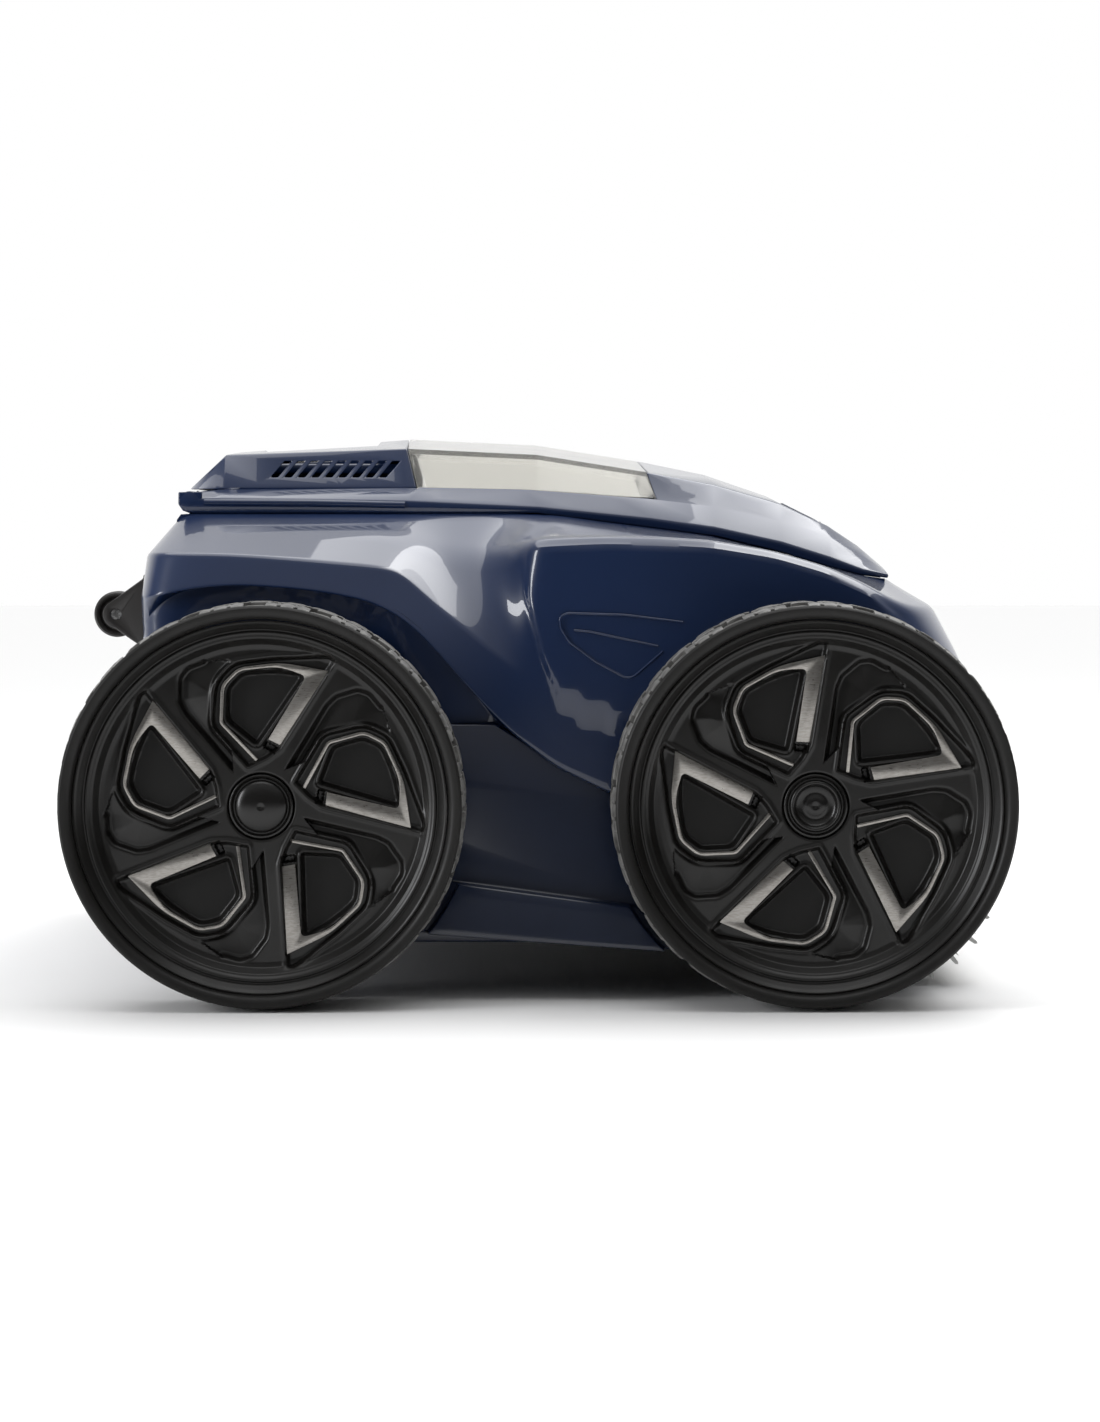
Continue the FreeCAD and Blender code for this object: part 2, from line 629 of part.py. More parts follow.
def rear_arches(name, inset):
    return [rod(f"{name}_{side_name}_arch", f"wheel_radius + arch_gap + {inset}",
                *span(side, f"fender_half - arch_sink - {inset}", "half_width"), REAR, AXLE)
            for side_name, side in SIDES.items()]


def fairing_block(name, inset):
    block = common(f"{name}_block", prism(f"{name}_side", fairing_side(inset),
                                          f"{inset} - fender_half", f"fender_half - {inset}"),
                   cross_prism(f"{name}_end", shoulders(inset), f"{REAR} - 90", f"{FRONT} + 120"))
    return cut(name, block, rear_arches(name, inset) + rear_bevels(name, inset))


def fender(name, side):
    """The raised panel beside the front wheel."""
    low, high = span(side, "fender_half - 1", "fender_half + panel_rise")
    return prism(name, [
        (f"{FRONT} - 134", f"{SEAM} - 16"), (f"{FRONT} - 92", f"{SEAM} - 14"),
        (f"{FRONT} - 45", f"{SEAM} - 16"), (f"{FRONT} - 14", f"{SEAM} - 21"),
        (f"{FRONT} + 9", f"{SEAM} - 29"), (f"{FRONT} + 29", f"{SEAM} - 39"),
        (f"{FRONT} + 46", f"{SEAM} - 54"), (f"{FRONT} + 46", f"{AXLE} + 22"),
        (f"{FRONT} - 52", f"{AXLE} + 22"), (f"{FRONT} - 68", f"{AXLE} + 4"),
        (f"{FRONT} - 89", f"{AXLE} + 4"), (f"{FRONT} - 109", f"{SEAM} - 112"),
        (f"{FRONT} - 118", f"{SEAM} - 89"), (f"{FRONT} - 125", f"{SEAM} - 68"),
        (f"{FRONT} - 132", f"{SEAM} - 40")], low, high)


fairing_outer = fairing_block("fairing_outer", "0")
fairing_inner = fairing_block("fairing_inner", "wall")
lid_opening = box("lid_opening", f"{REAR} + 68", f"{FRONT} - 6", "-88", "88", f"{SEAM} - 60", f"{SEAM} + 20")
pump_opening = post("pump_opening", "duct_bore + wall + 0.5", f"{SEAM} - 40", f"{SEAM} + 20", PUMP_X, 0)
latch_hole = box("latch_hole", f"{FRONT} + 5", f"{FRONT} + 17", "-9", "9", f"{SEAM} - 60", SEAM)
gland_hole = doc.addObject("Part::Cylinder", "gland_hole")
bind(gland_hole, Radius="gland_bore + 3", Height="30")
place(gland_hole, f"{REAR} - 80", 60, f"{SEAM} - 50", turn=((0, 1, 0), 90))
fairing_shell = cut("fairing_shell", fairing_outer, [fairing_inner])
fairing_full = fuse("fairing_full", [fairing_shell] + both_sides(lambda n, s: fender(f"{n}_fender", s)))

# the lid's hinge lugs stand on the fairing
LUG_DEPTHS = ("64", "76")
lugs = []
for name, side in SIDES.items():
    low, high = span(side, *LUG_DEPTHS)
    lugs.append(rod(f"{name}_lug_eye", "hinge_radius - 0.2", low, high, HINGE_X, HINGE_Z))
    lugs.append(box(f"{name}_lug_foot", f"{HINGE_X} - 3", f"{HINGE_X} + 5", low, high,
                    f"{SEAM} - 1", HINGE_Z))
lug_bore = rod("lug_bore", "hinge_pin_radius", "-90", "90", HINGE_X, HINGE_Z)
keep("upper_body", cut("upper_body", fuse("fairing_with_lugs", [fairing_full, *lugs]),
                       [lid_opening, pump_opening, latch_hole, gland_hole, lug_bore]))

# ---------------------------------------------------------------- rear rollers and cable gland
def roller_bracket(name, side):
    """A fork on the rear of the fairing that carries one wall roller."""
    arms = [(f"{REAR} - 60.5", f"{SEAM} - 29"), (f"{REAR} - 62", f"{SEAM} - 65"),
            (f"{ROLLER_X} - 1", f"{ROLLER_Z} - 6.5"), (f"{ROLLER_X} - 4", f"{ROLLER_Z} + 5")]
    solids = []
    for number, offset in enumerate(("0 - roller_width / 2 - 4", "roller_width / 2 + 1")):
        near = f"roller_depth + ({offset})"
        low, high = span(side, near, f"{near} + 3")
        plate = fuse(f"{name}_arm_{number}", [
            prism(f"{name}_plate_{number}", arms, low, high),
            rod(f"{name}_eye_{number}", 6.5, low, high, ROLLER_X, ROLLER_Z)])
        hole = rod(f"{name}_hole_{number}", "roller_pin_radius", f"{low} - 1", f"{high} + 1",
                   ROLLER_X, ROLLER_Z)
        solids.append(cut(f"{name}_drilled_{number}", plate, [hole]))
    low, high = span(side, "roller_depth - roller_width / 2 - 4", "roller_depth + roller_width / 2 + 4")
    base = prism(f"{name}_base", [arms[0], arms[1], (f"{REAR} - 64.4", f"{SEAM} - 65"),
                                  (f"{REAR} - 62.9", f"{SEAM} - 29")], low, high)
    return keep(name, fuse(name, solids + [base]))


both_sides(lambda name, side: roller_bracket(f"{name}_roller_bracket", side))


def roller(name, side):
    low, high = span(side, "roller_depth - roller_width / 2", "roller_depth + roller_width / 2")
    return keep(name, cut(name, rod(f"{name}_body", "roller_radius", low, high, ROLLER_X, ROLLER_Z), [
        rod(f"{name}_bore", "roller_pin_radius + running_gap", f"{low} - 1", f"{high} + 1",
            ROLLER_X, ROLLER_Z)]))


both_sides(lambda name, side: roller(f"{name}_rear_roller", side))
keep("roller_pins", group("roller_pins", [
    rod(f"{name}_roller_pin", "roller_pin_radius",
        *span(side, "roller_depth - roller_width / 2 - 4", "roller_depth + roller_width / 2 + 4"),
        ROLLER_X, ROLLER_Z) for name, side in SIDES.items()]))

gland = doc.addObject("Part::Cylinder", "gland_collar")
bind(gland, Radius="gland_bore + 3", Height="14")
place(gland, f"{REAR} - 70", 60, f"{SEAM} - 50", turn=((0, 1, 0), 90))
gland_bore = doc.addObject("Part::Cylinder", "gland_bore_tool")
bind(gland_bore, Radius="gland_bore", Height="20")
place(gland_bore, f"{REAR} - 73", 60, f"{SEAM} - 50", turn=((0, 1, 0), 90))
keep("cable_gland", cut("cable_gland", gland, [gland_bore]))

# ---------------------------------------------------------------- lid, window and rear hood
# Stations of the top from rear to nose: (X, then the height above the rear seam at the crown, at
# the top crease, at the band and at the side), with the seam under the lid as the last height.
STATIONS = [
    (f"{REAR} - 45", 11.0, 10.5, 10.0, 7.0, 0),
    (f"{REAR} - 26", 31.5, 28.5, 12.0, 7.0, 0),
    (f"{REAR} + 62", 38.0, 31.5, 12.8, 6.0, 0),
    (f"{REAR} + 126", 35.0, 28.5, 11.5, 3.0, 0),
    (f"{FRONT} - 72", 26.5, 20.0, 7.5, -2.5, -6.7),
    (f"{FRONT} - 40", 20.0, 14.0, 3.2, -7.0, -11),
    (f"{FRONT} - 8", 9.0, 5.0, -4.0, -14.0, -18.8),
    (f"{FRONT} + 16", -3.0, -6.0, -11.5, -21.5, -26.2),
    (f"{FRONT} + 31", -13.0, -16.0, -19.5, -27.0, -29.8),
    (f"{FRONT} + 44", -26.0, -27.0, -28.0, -29.5, -31)]


def top_outline(level, inset):
    """One section of the lid: its top line at this level, closed along the seam."""
    top = [(x, f"{SEAM} + lid_gap + {heights[level]} - {inset}") for x, *heights in STATIONS]
    seam = [(x, f"{SEAM} + lid_gap + {heights[4]} - {inset} * 2") for x, *heights in STATIONS]
    top[0] = (f"{STATIONS[0][0]} + {inset}", top[0][1])
    seam[0] = (f"{STATIONS[0][0]} + {inset}", seam[0][1])
    top[-1] = (f"{STATIONS[-1][0]} - {inset}", top[-1][1])
    seam[-1] = (f"{STATIONS[-1][0]} - {inset}", f"{seam[-1][1]} - 0.5")
    return top + list(reversed(seam))


def top_block(name, inset, side_inset):
    """The whole top as one block, through sections from one side to the other."""
    body = doc.addObject("PartDesign::Body", name)
    depths = [(3, "0 - lid_half"), (2, "13 - lid_half"), (1, "24 - lid_half"), (0, "0"),
              (1, "lid_half - 24"), (2, "lid_half - 13"), (3, "lid_half")]
    sections = []
    for level, depth in depths:
        pull = {"0 - lid_half": side_inset, "lid_half": f"0 - {side_inset}"}.get(depth, "0")
        if level == 3 and inset != "0":
            depth = f"{depth} + {pull}"
        sections.append(outline(body, "XZ_Plane", top_outline(level, inset), f"0 - ({depth})"))
    loft = body.newObject("PartDesign::AdditiveLoft", "loft")
    loft.Profile = sections[0]
    loft.Sections = sections[1:]
    loft.Ruled = True
    return body


HOOD_EDGE = [(f"{REAR} + 61.5", f"{SEAM} + 80"), (f"{REAR} + 61.5", f"{SEAM} + 38"),
             (f"{REAR} + 68", f"{SEAM} + 12")]
PANE_FRONT = [(f"{FRONT} - 68", f"{SEAM} + 7"), (f"{FRONT} - 77", f"{SEAM} + 34"),
              (f"{FRONT} - 77", f"{SEAM} + 80")]

top_shell = cut("top_shell", top_block("top_outer", "0", "0"), [top_block("top_inner", "lid_wall", "8")])
hood_zone_side = [(f"{REAR} - 60", f"{SEAM} + 80"), (f"{REAR} - 60", f"{SEAM} + 12"),
                  (f"{REAR} - 35", f"{SEAM} + 12"), (f"{REAR} - 35", f"{SEAM} - 30"),
                  (f"{REAR} + 68", f"{SEAM} - 30")]
hood_zone = prism("hood_zone", hood_zone_side + list(reversed(HOOD_EDGE)), "12.6 - lid_half", "lid_half - 12.6")
window_zone = prism("window_zone", [HOOD_EDGE[0], HOOD_EDGE[1], HOOD_EDGE[2]] + PANE_FRONT,
                    "13 - lid_half", "lid_half - 13")
hood_skin = common("hood_skin", top_shell, prism(
    "hood_region", [(f"{REAR} - 60", f"{SEAM} + 80"), (f"{REAR} - 60", f"{SEAM} + 12.2")]
    + [(f"{REAR} + 67.4", f"{SEAM} + 12.2"), (f"{REAR} + 60.9", f"{SEAM} + 38"),
       (f"{REAR} + 60.9", f"{SEAM} + 80")], "13 - lid_half", "lid_half - 13"))
hood_feet = [box(f"hood_foot_{name}_{end}", x, f"{x} + 8", *span(side, "lid_half - 19", "lid_half - 14.5"),
                 SEAM, f"{SEAM} + 13.5")
             for name, side in SIDES.items() for end, x in (("rear", f"{REAR} - 30"), ("front", f"{REAR} + 56"))]
hood_deck = cut("hood_deck", box("hood_deck_plate", f"{REAR} - 34", f"{REAR} + 64", "14 - lid_half",
                                 "lid_half - 14", SEAM, f"{SEAM} + 3"),
                [post("hood_deck_hole", "duct_bore - 3", f"{SEAM} - 10", f"{SEAM} + 10", PUMP_X, 0)])
VENTS = 9
vent_cuts = []
for number in range(VENTS):
    start = f"{REAR} - 4 + {number} * 6.6"
    vent_cuts.append(prism(f"vent_{number}", [
        (start, f"{SEAM} + 18"), (f"{start} + 3.6", f"{SEAM} + 18"),
        (f"{start} + 10.2", f"{SEAM} + 26"), (f"{start} + 6.6", f"{SEAM} + 26")],
        "0 - lid_half", "lid_half"))
grip_hole = box("grip_hole", f"{REAR} - 12", f"{REAR} + 46", "-44", "44", f"{SEAM} + 6", f"{SEAM} + 60")
keep("rear_hood", cut("rear_hood", fuse("hood_body", [hood_skin, hood_deck, *hood_feet]),
                      vent_cuts + [grip_hole]))

# the carrying bar crosses the grip opening
bar = box("bar_top", f"{REAR} - 24", f"{REAR} + 58", "-14", "14", f"{SEAM} + 21", f"{SEAM} + 26")
bar_legs = [box(f"bar_leg_{n}", x, f"{x} + 6", "-14", "14", f"{SEAM} + 3", f"{SEAM} + 22")
            for n, x in (("rear", f"{REAR} - 24"), ("front", f"{REAR} + 52"))]
keep("carry_handle", cut("carry_handle", fuse("bar_body", [bar, *bar_legs]),
                         [post("bar_clear", "duct_bore - 3", SEAM, f"{SEAM} + 10", PUMP_X, 0)]))

keep("lid_window", common("lid_window", top_shell, window_zone))
hinge_bar = rod("hinge_bar", "hinge_radius", "0 - lid_half", "lid_half", HINGE_X, HINGE_Z)
lug_spans = [(name, *span(side, *LUG_DEPTHS)) for name, side in SIDES.items()]
lug_gaps = [rod(f"lug_gap_{name}", "hinge_radius + 1", f"{low} - 0.4", f"{high} + 0.4", HINGE_X, HINGE_Z)
            for name, low, high in lug_spans]
pin_span = ("56", "84")
hinge_bores = [rod(f"hinge_bore_{name}", "hinge_pin_radius + running_gap", *span(side, *pin_span),
                   HINGE_X, HINGE_Z) for name, side in SIDES.items()]
hinge_round = cut("hinge_corner", box("hinge_corner_box", f"{REAR} - 60", HINGE_X, "0 - half_width",
                                      "half_width", f"{SEAM} - 10", f"{SEAM} + 60"),
                  [rod("hinge_corner_round", "hinge_radius", "0 - half_width", "half_width",
                       HINGE_X, HINGE_Z)])
lid_bar = common("lid_bar", hinge_bar, box("lid_bar_zone", f"{REAR} - 70", f"{REAR} - 35.6",
                                            "0 - lid_half", "lid_half", "0", f"{SEAM} + 40"))
# the lid's skin stops short of the hood's rear edge, so that it swings under it
bar_relief = box("bar_relief", HINGE_X, f"{REAR} - 34", "12.6 - lid_half", "lid_half - 12.6",
                 f"{HINGE_Z} + 1", f"{SEAM} + 13")
lid_body = fuse("lid_body", [cut("lid_trimmed", top_shell,
                                 [hood_zone, window_zone, hinge_round, bar_relief]), lid_bar])
latch_slot = box("latch_slot", f"{FRONT} - 2", f"{FRONT} + 29", "-13", "13", f"{SEAM} - 18", f"{SEAM} + 40")
latch_shelf = box("latch_shelf", f"{FRONT} + 4", f"{FRONT} + 44", "-30", "30", f"{SEAM} - 21", f"{SEAM} - 19")
latch_well = box("latch_well", f"{FRONT} + 5", f"{FRONT} + 13", "-7", "7", f"{SEAM} - 40", f"{SEAM} - 10")
lid_frame = cut("lid_frame", fuse("lid_with_shelf", [lid_body, common(
    "latch_shelf_trimmed", latch_shelf, doc.getObject("top_inner"))]),
    [latch_slot, latch_well] + lug_gaps + hinge_bores)
keep("lid_frame", lid_frame)

keep("hinge_pins", group("hinge_pins", [
    rod(f"hinge_pin_{name}", "hinge_pin_radius", *span(side, "57", "83"), HINGE_X, HINGE_Z)
    for name, side in SIDES.items()]))

# ---------------------------------------------------------------- pump, filter and floats
MOTOR_BOX = (f"{REAR} - 32", f"{REAR} + 50", "-60", "60", f"{FLOOR} + wall", f"{AXLE} + 44")
housing = cut("housing", box("housing_block", *MOTOR_BOX), [
    box("housing_cavity", f"{REAR} - 29", f"{REAR} + 47", "-57", "57", "0", f"{AXLE} + 41"),
    post("housing_bore", 4, "0", f"{SEAM}", PUMP_X, 0)])
keep("motor_housing", housing)
keep("pump_motor", cut("pump_motor", post("pump_can", 27, f"{FLOOR} + wall", f"{AXLE} + 40", PUMP_X, 0),
                       [post("pump_can_bore", "3 + running_gap", f"{AXLE} - 10", f"{SEAM}", PUMP_X, 0)]))
duct_wall = cut("duct_wall", post("duct_outside", "duct_bore + wall", f"{AXLE} + 58", SEAM, PUMP_X, 0),
                [post("duct_inside", "duct_bore", f"{AXLE} + 40", f"{SEAM} + 10", PUMP_X, 0)])
duct_legs = []
for number in range(4):
    leg = doc.addObject("Part::Box", f"duct_leg_{number}")
    bind(leg, Length="wall", Width="10", Height="16")
    duct_legs.append(leg)
    leg.Placement = Placement(Vector(), Rotation(Vector(0, 0, 1), 45 + 90 * number))
    swing = math.radians(45 + 90 * number)
    bind(leg, Placement__Base__x=f"{PUMP_X} + {math.cos(swing)} * duct_bore + {math.sin(swing) * 5}",
         Placement__Base__y=f"{math.sin(swing)} * duct_bore - {math.cos(swing) * 5}",
         Placement__Base__z=f"{AXLE} + 44")
keep("pump_duct", fuse("pump_duct", [duct_wall, *duct_legs]))

IMPELLER_BLADES = 4
pump_x = -axle_x + 9
impeller = Part.makeCylinder(9, 22, Vector(0, 0, axle_z + 66)).fuse(
    Part.makeCylinder(3, 72, Vector(0, 0, axle_z - 5)))
for number in range(IMPELLER_BLADES):
    blade = Part.makeBox(size("duct_bore") - 9, 20, 2, Vector(7, -10, -1))
    blade.rotate(Vector(), Vector(1, 0, 0), 38)
    blade.translate(Vector(0, 0, axle_z + 77))
    blade.rotate(Vector(), Vector(0, 0, 1), 360 / IMPELLER_BLADES * number)
    impeller = impeller.fuse(blade)
impeller = impeller.common(Part.makeCylinder(size("duct_bore") - 1.5, 200, Vector(0, 0, axle_z - 40)))
impeller.translate(Vector(pump_x, 0, 0))
shaped("impeller", impeller)

FILTER_X = (f"{REAR} + 74", f"{FRONT} - 14")
FILTER_Z = (f"{FLOOR} + 36", f"{SEAM} - 34")
filter_outer = box("filter_outer", *FILTER_X, "0 - filter_half", "filter_half", *FILTER_Z)
filter_inner = box("filter_inner", f"{FILTER_X[0]} + wall", f"{FILTER_X[1]} - wall", "wall - filter_half",
                   "filter_half - wall", f"{FILTER_Z[0]} + wall", f"{SEAM}")
side_windows = [box(f"side_window_{n}", f"{FILTER_X[0]} + {a}", f"{FILTER_X[0]} + {b}", "0 - half_width",
                    "half_width", f"{FILTER_Z[0]} + 12", f"{FILTER_Z[1]} - 12") for n, (a, b) in
                enumerate(((10, 76), (84, 150)))]
end_windows = [box(f"end_window_{n}", f"{REAR}", f"{FRONT}", *span(s, "6", "filter_half - 10"),
                   f"{FILTER_Z[0]} + 12", f"{FILTER_Z[1]} - 12") for n, s in SIDES.items()]
spout = cut("spout", box("spout_outer", f"{FRONT} - 93", f"{FRONT} - 63", "-67", "67", f"{FLOOR} + 7",
                         f"{FILTER_Z[0]} + 1"),
            [box("spout_inner", f"{FRONT} - 90", f"{FRONT} - 66", "-64", "64", "0", f"{FILTER_Z[0]} + 10")])
inlet = box("filter_inlet", f"{FRONT} - 90", f"{FRONT} - 66", "-64", "64", "0", f"{FILTER_Z[0]} + 10")
keep("filter_frame", fuse("filter_frame", [
    cut("filter_basket", filter_outer, [filter_inner, inlet, *side_windows, *end_windows]), spout]))
mesh_z = (f"{FILTER_Z[0]} + wall + 1", f"{FILTER_Z[1]} - 4")
mesh_sides = [box(f"mesh_{n}", f"{FILTER_X[0]} + wall + 2", f"{FILTER_X[1]} - wall - 2",
                  *span(s, "filter_half - wall - 1", "filter_half - wall"), *mesh_z) for n, s in SIDES.items()]
mesh_ends = [box(f"mesh_end_{n}", x, f"{x} + 1", "6 - filter_half", "filter_half - 6", *mesh_z)
             for n, x in (("rear", f"{FILTER_X[0]} + wall"), ("front", f"{FILTER_X[1]} - wall - 1"))]
keep("filter_mesh", group("filter_mesh", mesh_sides + mesh_ends))
filter_top = box("filter_top", f"{FILTER_X[0]} - 2", f"{FILTER_X[1]} + 2", "0 - filter_half - 2",
                 "filter_half + 2", FILTER_Z[1], f"{FILTER_Z[1]} + 4")
grip = cut("filter_grip", box("filter_grip_block", f"{REAR} + 100", f"{REAR} + 176", "-7", "7",
                              f"{FILTER_Z[1]} + 4", f"{FILTER_Z[1]} + 26"),
           [box("filter_grip_gap", f"{REAR} + 108", f"{REAR} + 168", "-8", "8", f"{FILTER_Z[1]} + 5",
                f"{FILTER_Z[1]} + 20")])
keep("filter_lid", fuse("filter_lid", [filter_top, grip]))
keep("float_blocks", group("float_blocks", [
    box(f"{name}_float", f"{REAR} + 134", f"{FRONT} - 60", *span(side, "lid_half + 4", "fender_half - wall"),
        f"{AXLE} + 62", f"{SEAM} - 28") for name, side in SIDES.items()]))

# ---------------------------------------------------------------- latch button and its spring
latch = fuse("latch_button_body", [
    prism("latch_pad", [
        (f"{FRONT} - 1", f"{SEAM} + 6.4"), (f"{FRONT} + 16", f"{SEAM} - 2.1"),
        (f"{FRONT} + 28", f"{SEAM} - 10"), (f"{FRONT} + 28", f"{SEAM} - 13.5"),
        (f"{FRONT} + 19", f"{SEAM} - 7"), (f"{FRONT} + 16", f"{SEAM} - 7"),
        (f"{FRONT} - 1", f"{SEAM} - 2")], "-12", "12"),
    box("latch_collar", f"{FRONT} - 1", f"{FRONT} + 19", "-12", "12", f"{SEAM} - 7", f"{SEAM} - 4"),
    box("latch_stem", f"{FRONT} + 6", f"{FRONT} + 12", "-6", "6", f"{SEAM} - 34", f"{SEAM} - 4")])
keep("latch_button", latch)

SPRING_TURNS = 4
SPRING_WIRE = 0.5
SPRING_PLAY = 0.1
spring_low = size("wheel_radius") + size("seam_rise") - 19 + SPRING_WIRE + SPRING_PLAY
spring_high = size("wheel_radius") + size("seam_rise") - 7.3 - SPRING_WIRE - SPRING_PLAY
coil = Part.makeHelix((spring_high - spring_low) / SPRING_TURNS, spring_high - spring_low, 8.2)
section = Part.Wire(Part.makeCircle(SPRING_WIRE, Vector(8.2, 0, 0), Vector(0, 1, 0)))
spring = Part.Wire(coil.Edges).makePipeShell([section], True, True)
spring.translate(Vector(axle_x + 9, 0, spring_low))
shaped("latch_spring", spring)

# ---------------------------------------------------------------- fasteners
screw_places = [(x, side) for x in (f"{FRONT} - 152", f"{FRONT} - 39") for side in (-92, 92)]
screws = []
for number, (x, y) in enumerate(screw_places):
    screws.append(fuse(f"cover_screw_{number}", [
        post(f"cover_screw_head_{number}", "screw_radius + 2", f"{FLOOR} - 5", f"{FLOOR} - 3", x, y),
        post(f"cover_screw_shank_{number}", "screw_radius", f"{FLOOR} - 3.5", f"{FLOOR} + wall + 2", x, y)]))
screw_set = group("cover_screws", screws)
for label in ("suction_cover", "lower_hull"):
    base = pieces[label]
    drilled = cut(f"{label}_drilled", base, [
        post(f"{label}_drill_{n}", "screw_radius", f"{FLOOR} - 10", f"{FLOOR} + 10", x, y)
        for n, (x, y) in enumerate(screw_places)])
    base.Label = f"{label}_blank"
    keep(label, drilled)
keep("cover_screws", screw_set)

# ---------------------------------------------------------------- check and write
doc.recompute()
faults = [o.Label for o in doc.Objects if "Invalid" in o.State or "Error" in o.State]
if faults:
    raise SystemExit(f"these objects failed: {faults}")
for label, piece in pieces.items():
    if piece.Shape.isNull() or not piece.Shape.isValid() or not piece.Shape.Solids:
        raise SystemExit(f"{label} has no valid solid")
os.makedirs("parts", exist_ok=True)
for label, piece in pieces.items():
    piece.Shape.exportStep(f"parts/{label}.step")
print(f"{len(pieces)} pieces written")
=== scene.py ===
import json
import math

import bmesh
import bpy
import numpy as np
from mathutils import Matrix, Vector


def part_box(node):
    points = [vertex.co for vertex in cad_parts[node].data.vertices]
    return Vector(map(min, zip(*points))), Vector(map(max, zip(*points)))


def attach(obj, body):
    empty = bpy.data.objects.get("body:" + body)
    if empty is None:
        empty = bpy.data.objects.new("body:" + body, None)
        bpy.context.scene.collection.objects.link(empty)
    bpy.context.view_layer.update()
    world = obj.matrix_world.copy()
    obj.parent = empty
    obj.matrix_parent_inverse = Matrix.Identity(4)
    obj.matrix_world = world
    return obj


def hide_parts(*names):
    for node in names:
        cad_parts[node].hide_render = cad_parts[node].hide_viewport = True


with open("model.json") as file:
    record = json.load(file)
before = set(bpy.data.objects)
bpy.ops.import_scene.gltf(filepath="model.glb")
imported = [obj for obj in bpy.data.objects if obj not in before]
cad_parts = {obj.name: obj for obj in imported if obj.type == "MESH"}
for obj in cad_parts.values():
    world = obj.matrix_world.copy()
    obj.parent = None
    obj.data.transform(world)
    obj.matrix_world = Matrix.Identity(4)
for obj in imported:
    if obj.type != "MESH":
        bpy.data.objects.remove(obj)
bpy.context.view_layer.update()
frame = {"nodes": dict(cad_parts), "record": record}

MM = 0.001                       # lengths below are in millimetres, angles in degrees
SIDES = {"right": -1, "left": 1}
scene = bpy.context.scene
scene.view_settings.view_transform = "Standard"

# ------------------------------------------------------------------ camera
# The camera stands well back from the right-hand side, a little above the tops of the wheels,
# and looks at the middle of the body through a long lens.
CAMERA_AT = Vector((-8.4, -1940.0, 218.3))
AIM_AT = Vector((7.0, 0.0, 125.4))
camera_data = bpy.data.cameras.new("camera")
camera_data.lens = 95.6
camera_data.sensor_width = 36
camera_data.clip_start = 0.05
camera_data.clip_end = 40
camera = bpy.data.objects.new("camera", camera_data)
camera.location = CAMERA_AT * MM
camera.rotation_euler = (AIM_AT - CAMERA_AT).to_track_quat("-Z", "Y").to_euler()
scene.collection.objects.link(camera)
scene.camera = camera


# ------------------------------------------------------------------ paper floor, room and lamps
# The cleaner stands on white paper in a white room that is dark behind the camera, so the gloss
# keeps its depth. One soft lamp ahead lights the facets that face forward, and one skims the rear.
def add_node(tree, kind, inputs=None, **settings):
    """A node with its settings, then a value or a link for each of these sockets."""
    node = tree.nodes.new(kind)
    for key, value in settings.items():
        setattr(node, key, value)
    for key, value in (inputs or {}).items():
        value = value.socket if isinstance(value, Value) else value
        if isinstance(value, bpy.types.NodeSocket):
            tree.links.new(value, node.inputs[key])
        else:
            node.inputs[key].default_value = value
    return node


class Value:
    """A shader socket that Python arithmetic acts on, with one maths node for each operation."""

    def __init__(self, socket):
        self.socket = socket
        self.tree = socket.id_data

    def maths(self, operation, other):
        node = add_node(self.tree, "ShaderNodeMath", {0: self, 1: other}, operation=operation)
        return Value(node.outputs[0])

    def __add__(self, other):
        return self.maths("ADD", other)

    def __mul__(self, other):
        return self.maths("MULTIPLY", other)

    __radd__, __rmul__ = __add__, __mul__

    def at_least(self, other):
        return self.maths("MAXIMUM", other)

    def between(self, low, high):
        """0 below low and 1 above high, with a smooth step between them."""
        node = add_node(self.tree, "ShaderNodeMapRange",
                        {"Value": self, "From Min": low, "From Max": high},
                        interpolation_type="SMOOTHSTEP")
        return Value(node.outputs[0])


class Look:
    """A Principled finish, with patterns on the piece's own coordinates."""

    def __init__(self, name, colour, rough, **settings):
        self.material = bpy.data.materials.new(name)
        self.material.use_nodes = True
        self.material.diffuse_color = (*colour, 1)
        self.tree = self.material.node_tree
        self.shader = self.tree.nodes["Principled BSDF"]
        self.shader.inputs["Base Color"].default_value = (*colour, 1)
        self.shader.inputs["Roughness"].default_value = rough
        for key, value in settings.items():
            self.shader.inputs[key.replace("_", " ")].default_value = value
        self.coordinates = add_node(self.tree, "ShaderNodeTexCoord")

    def pattern(self, kind, output, stretch, inputs):
        place = add_node(self.tree, "ShaderNodeMapping",
                         {"Vector": self.coordinates.outputs["Object"], "Scale": stretch})
        node = add_node(self.tree, kind, {"Vector": place.outputs["Vector"], **inputs})
        return Value(node.outputs[output])

    def noise(self, per_metre, detail=3, stretch=(1, 1, 1)):
        return self.pattern("ShaderNodeTexNoise", "Fac", stretch,
                            {"Scale": per_metre, "Detail": detail})

    def cells(self, per_metre):
        return self.pattern("ShaderNodeTexVoronoi", "Distance", (1, 1, 1), {"Scale": per_metre})

    def roughness(self, value):
        self.tree.links.new(value.socket, self.shader.inputs["Roughness"])

    def tint(self, factor, low, high):
        """The base colour runs from low to high with the factor."""
        mix = add_node(self.tree, "ShaderNodeMix", {0: factor, 6: (*low, 1), 7: (*high, 1)},
                       data_type="RGBA")
        self.tree.links.new(mix.outputs[2], self.shader.inputs["Base Color"])

    def bump(self, height, depth_mm):
        node = add_node(self.tree, "ShaderNodeBump",
                        {"Strength": 1.0, "Distance": depth_mm * MM, "Height": height})
        self.tree.links.new(node.outputs[0], self.shader.inputs["Normal"])


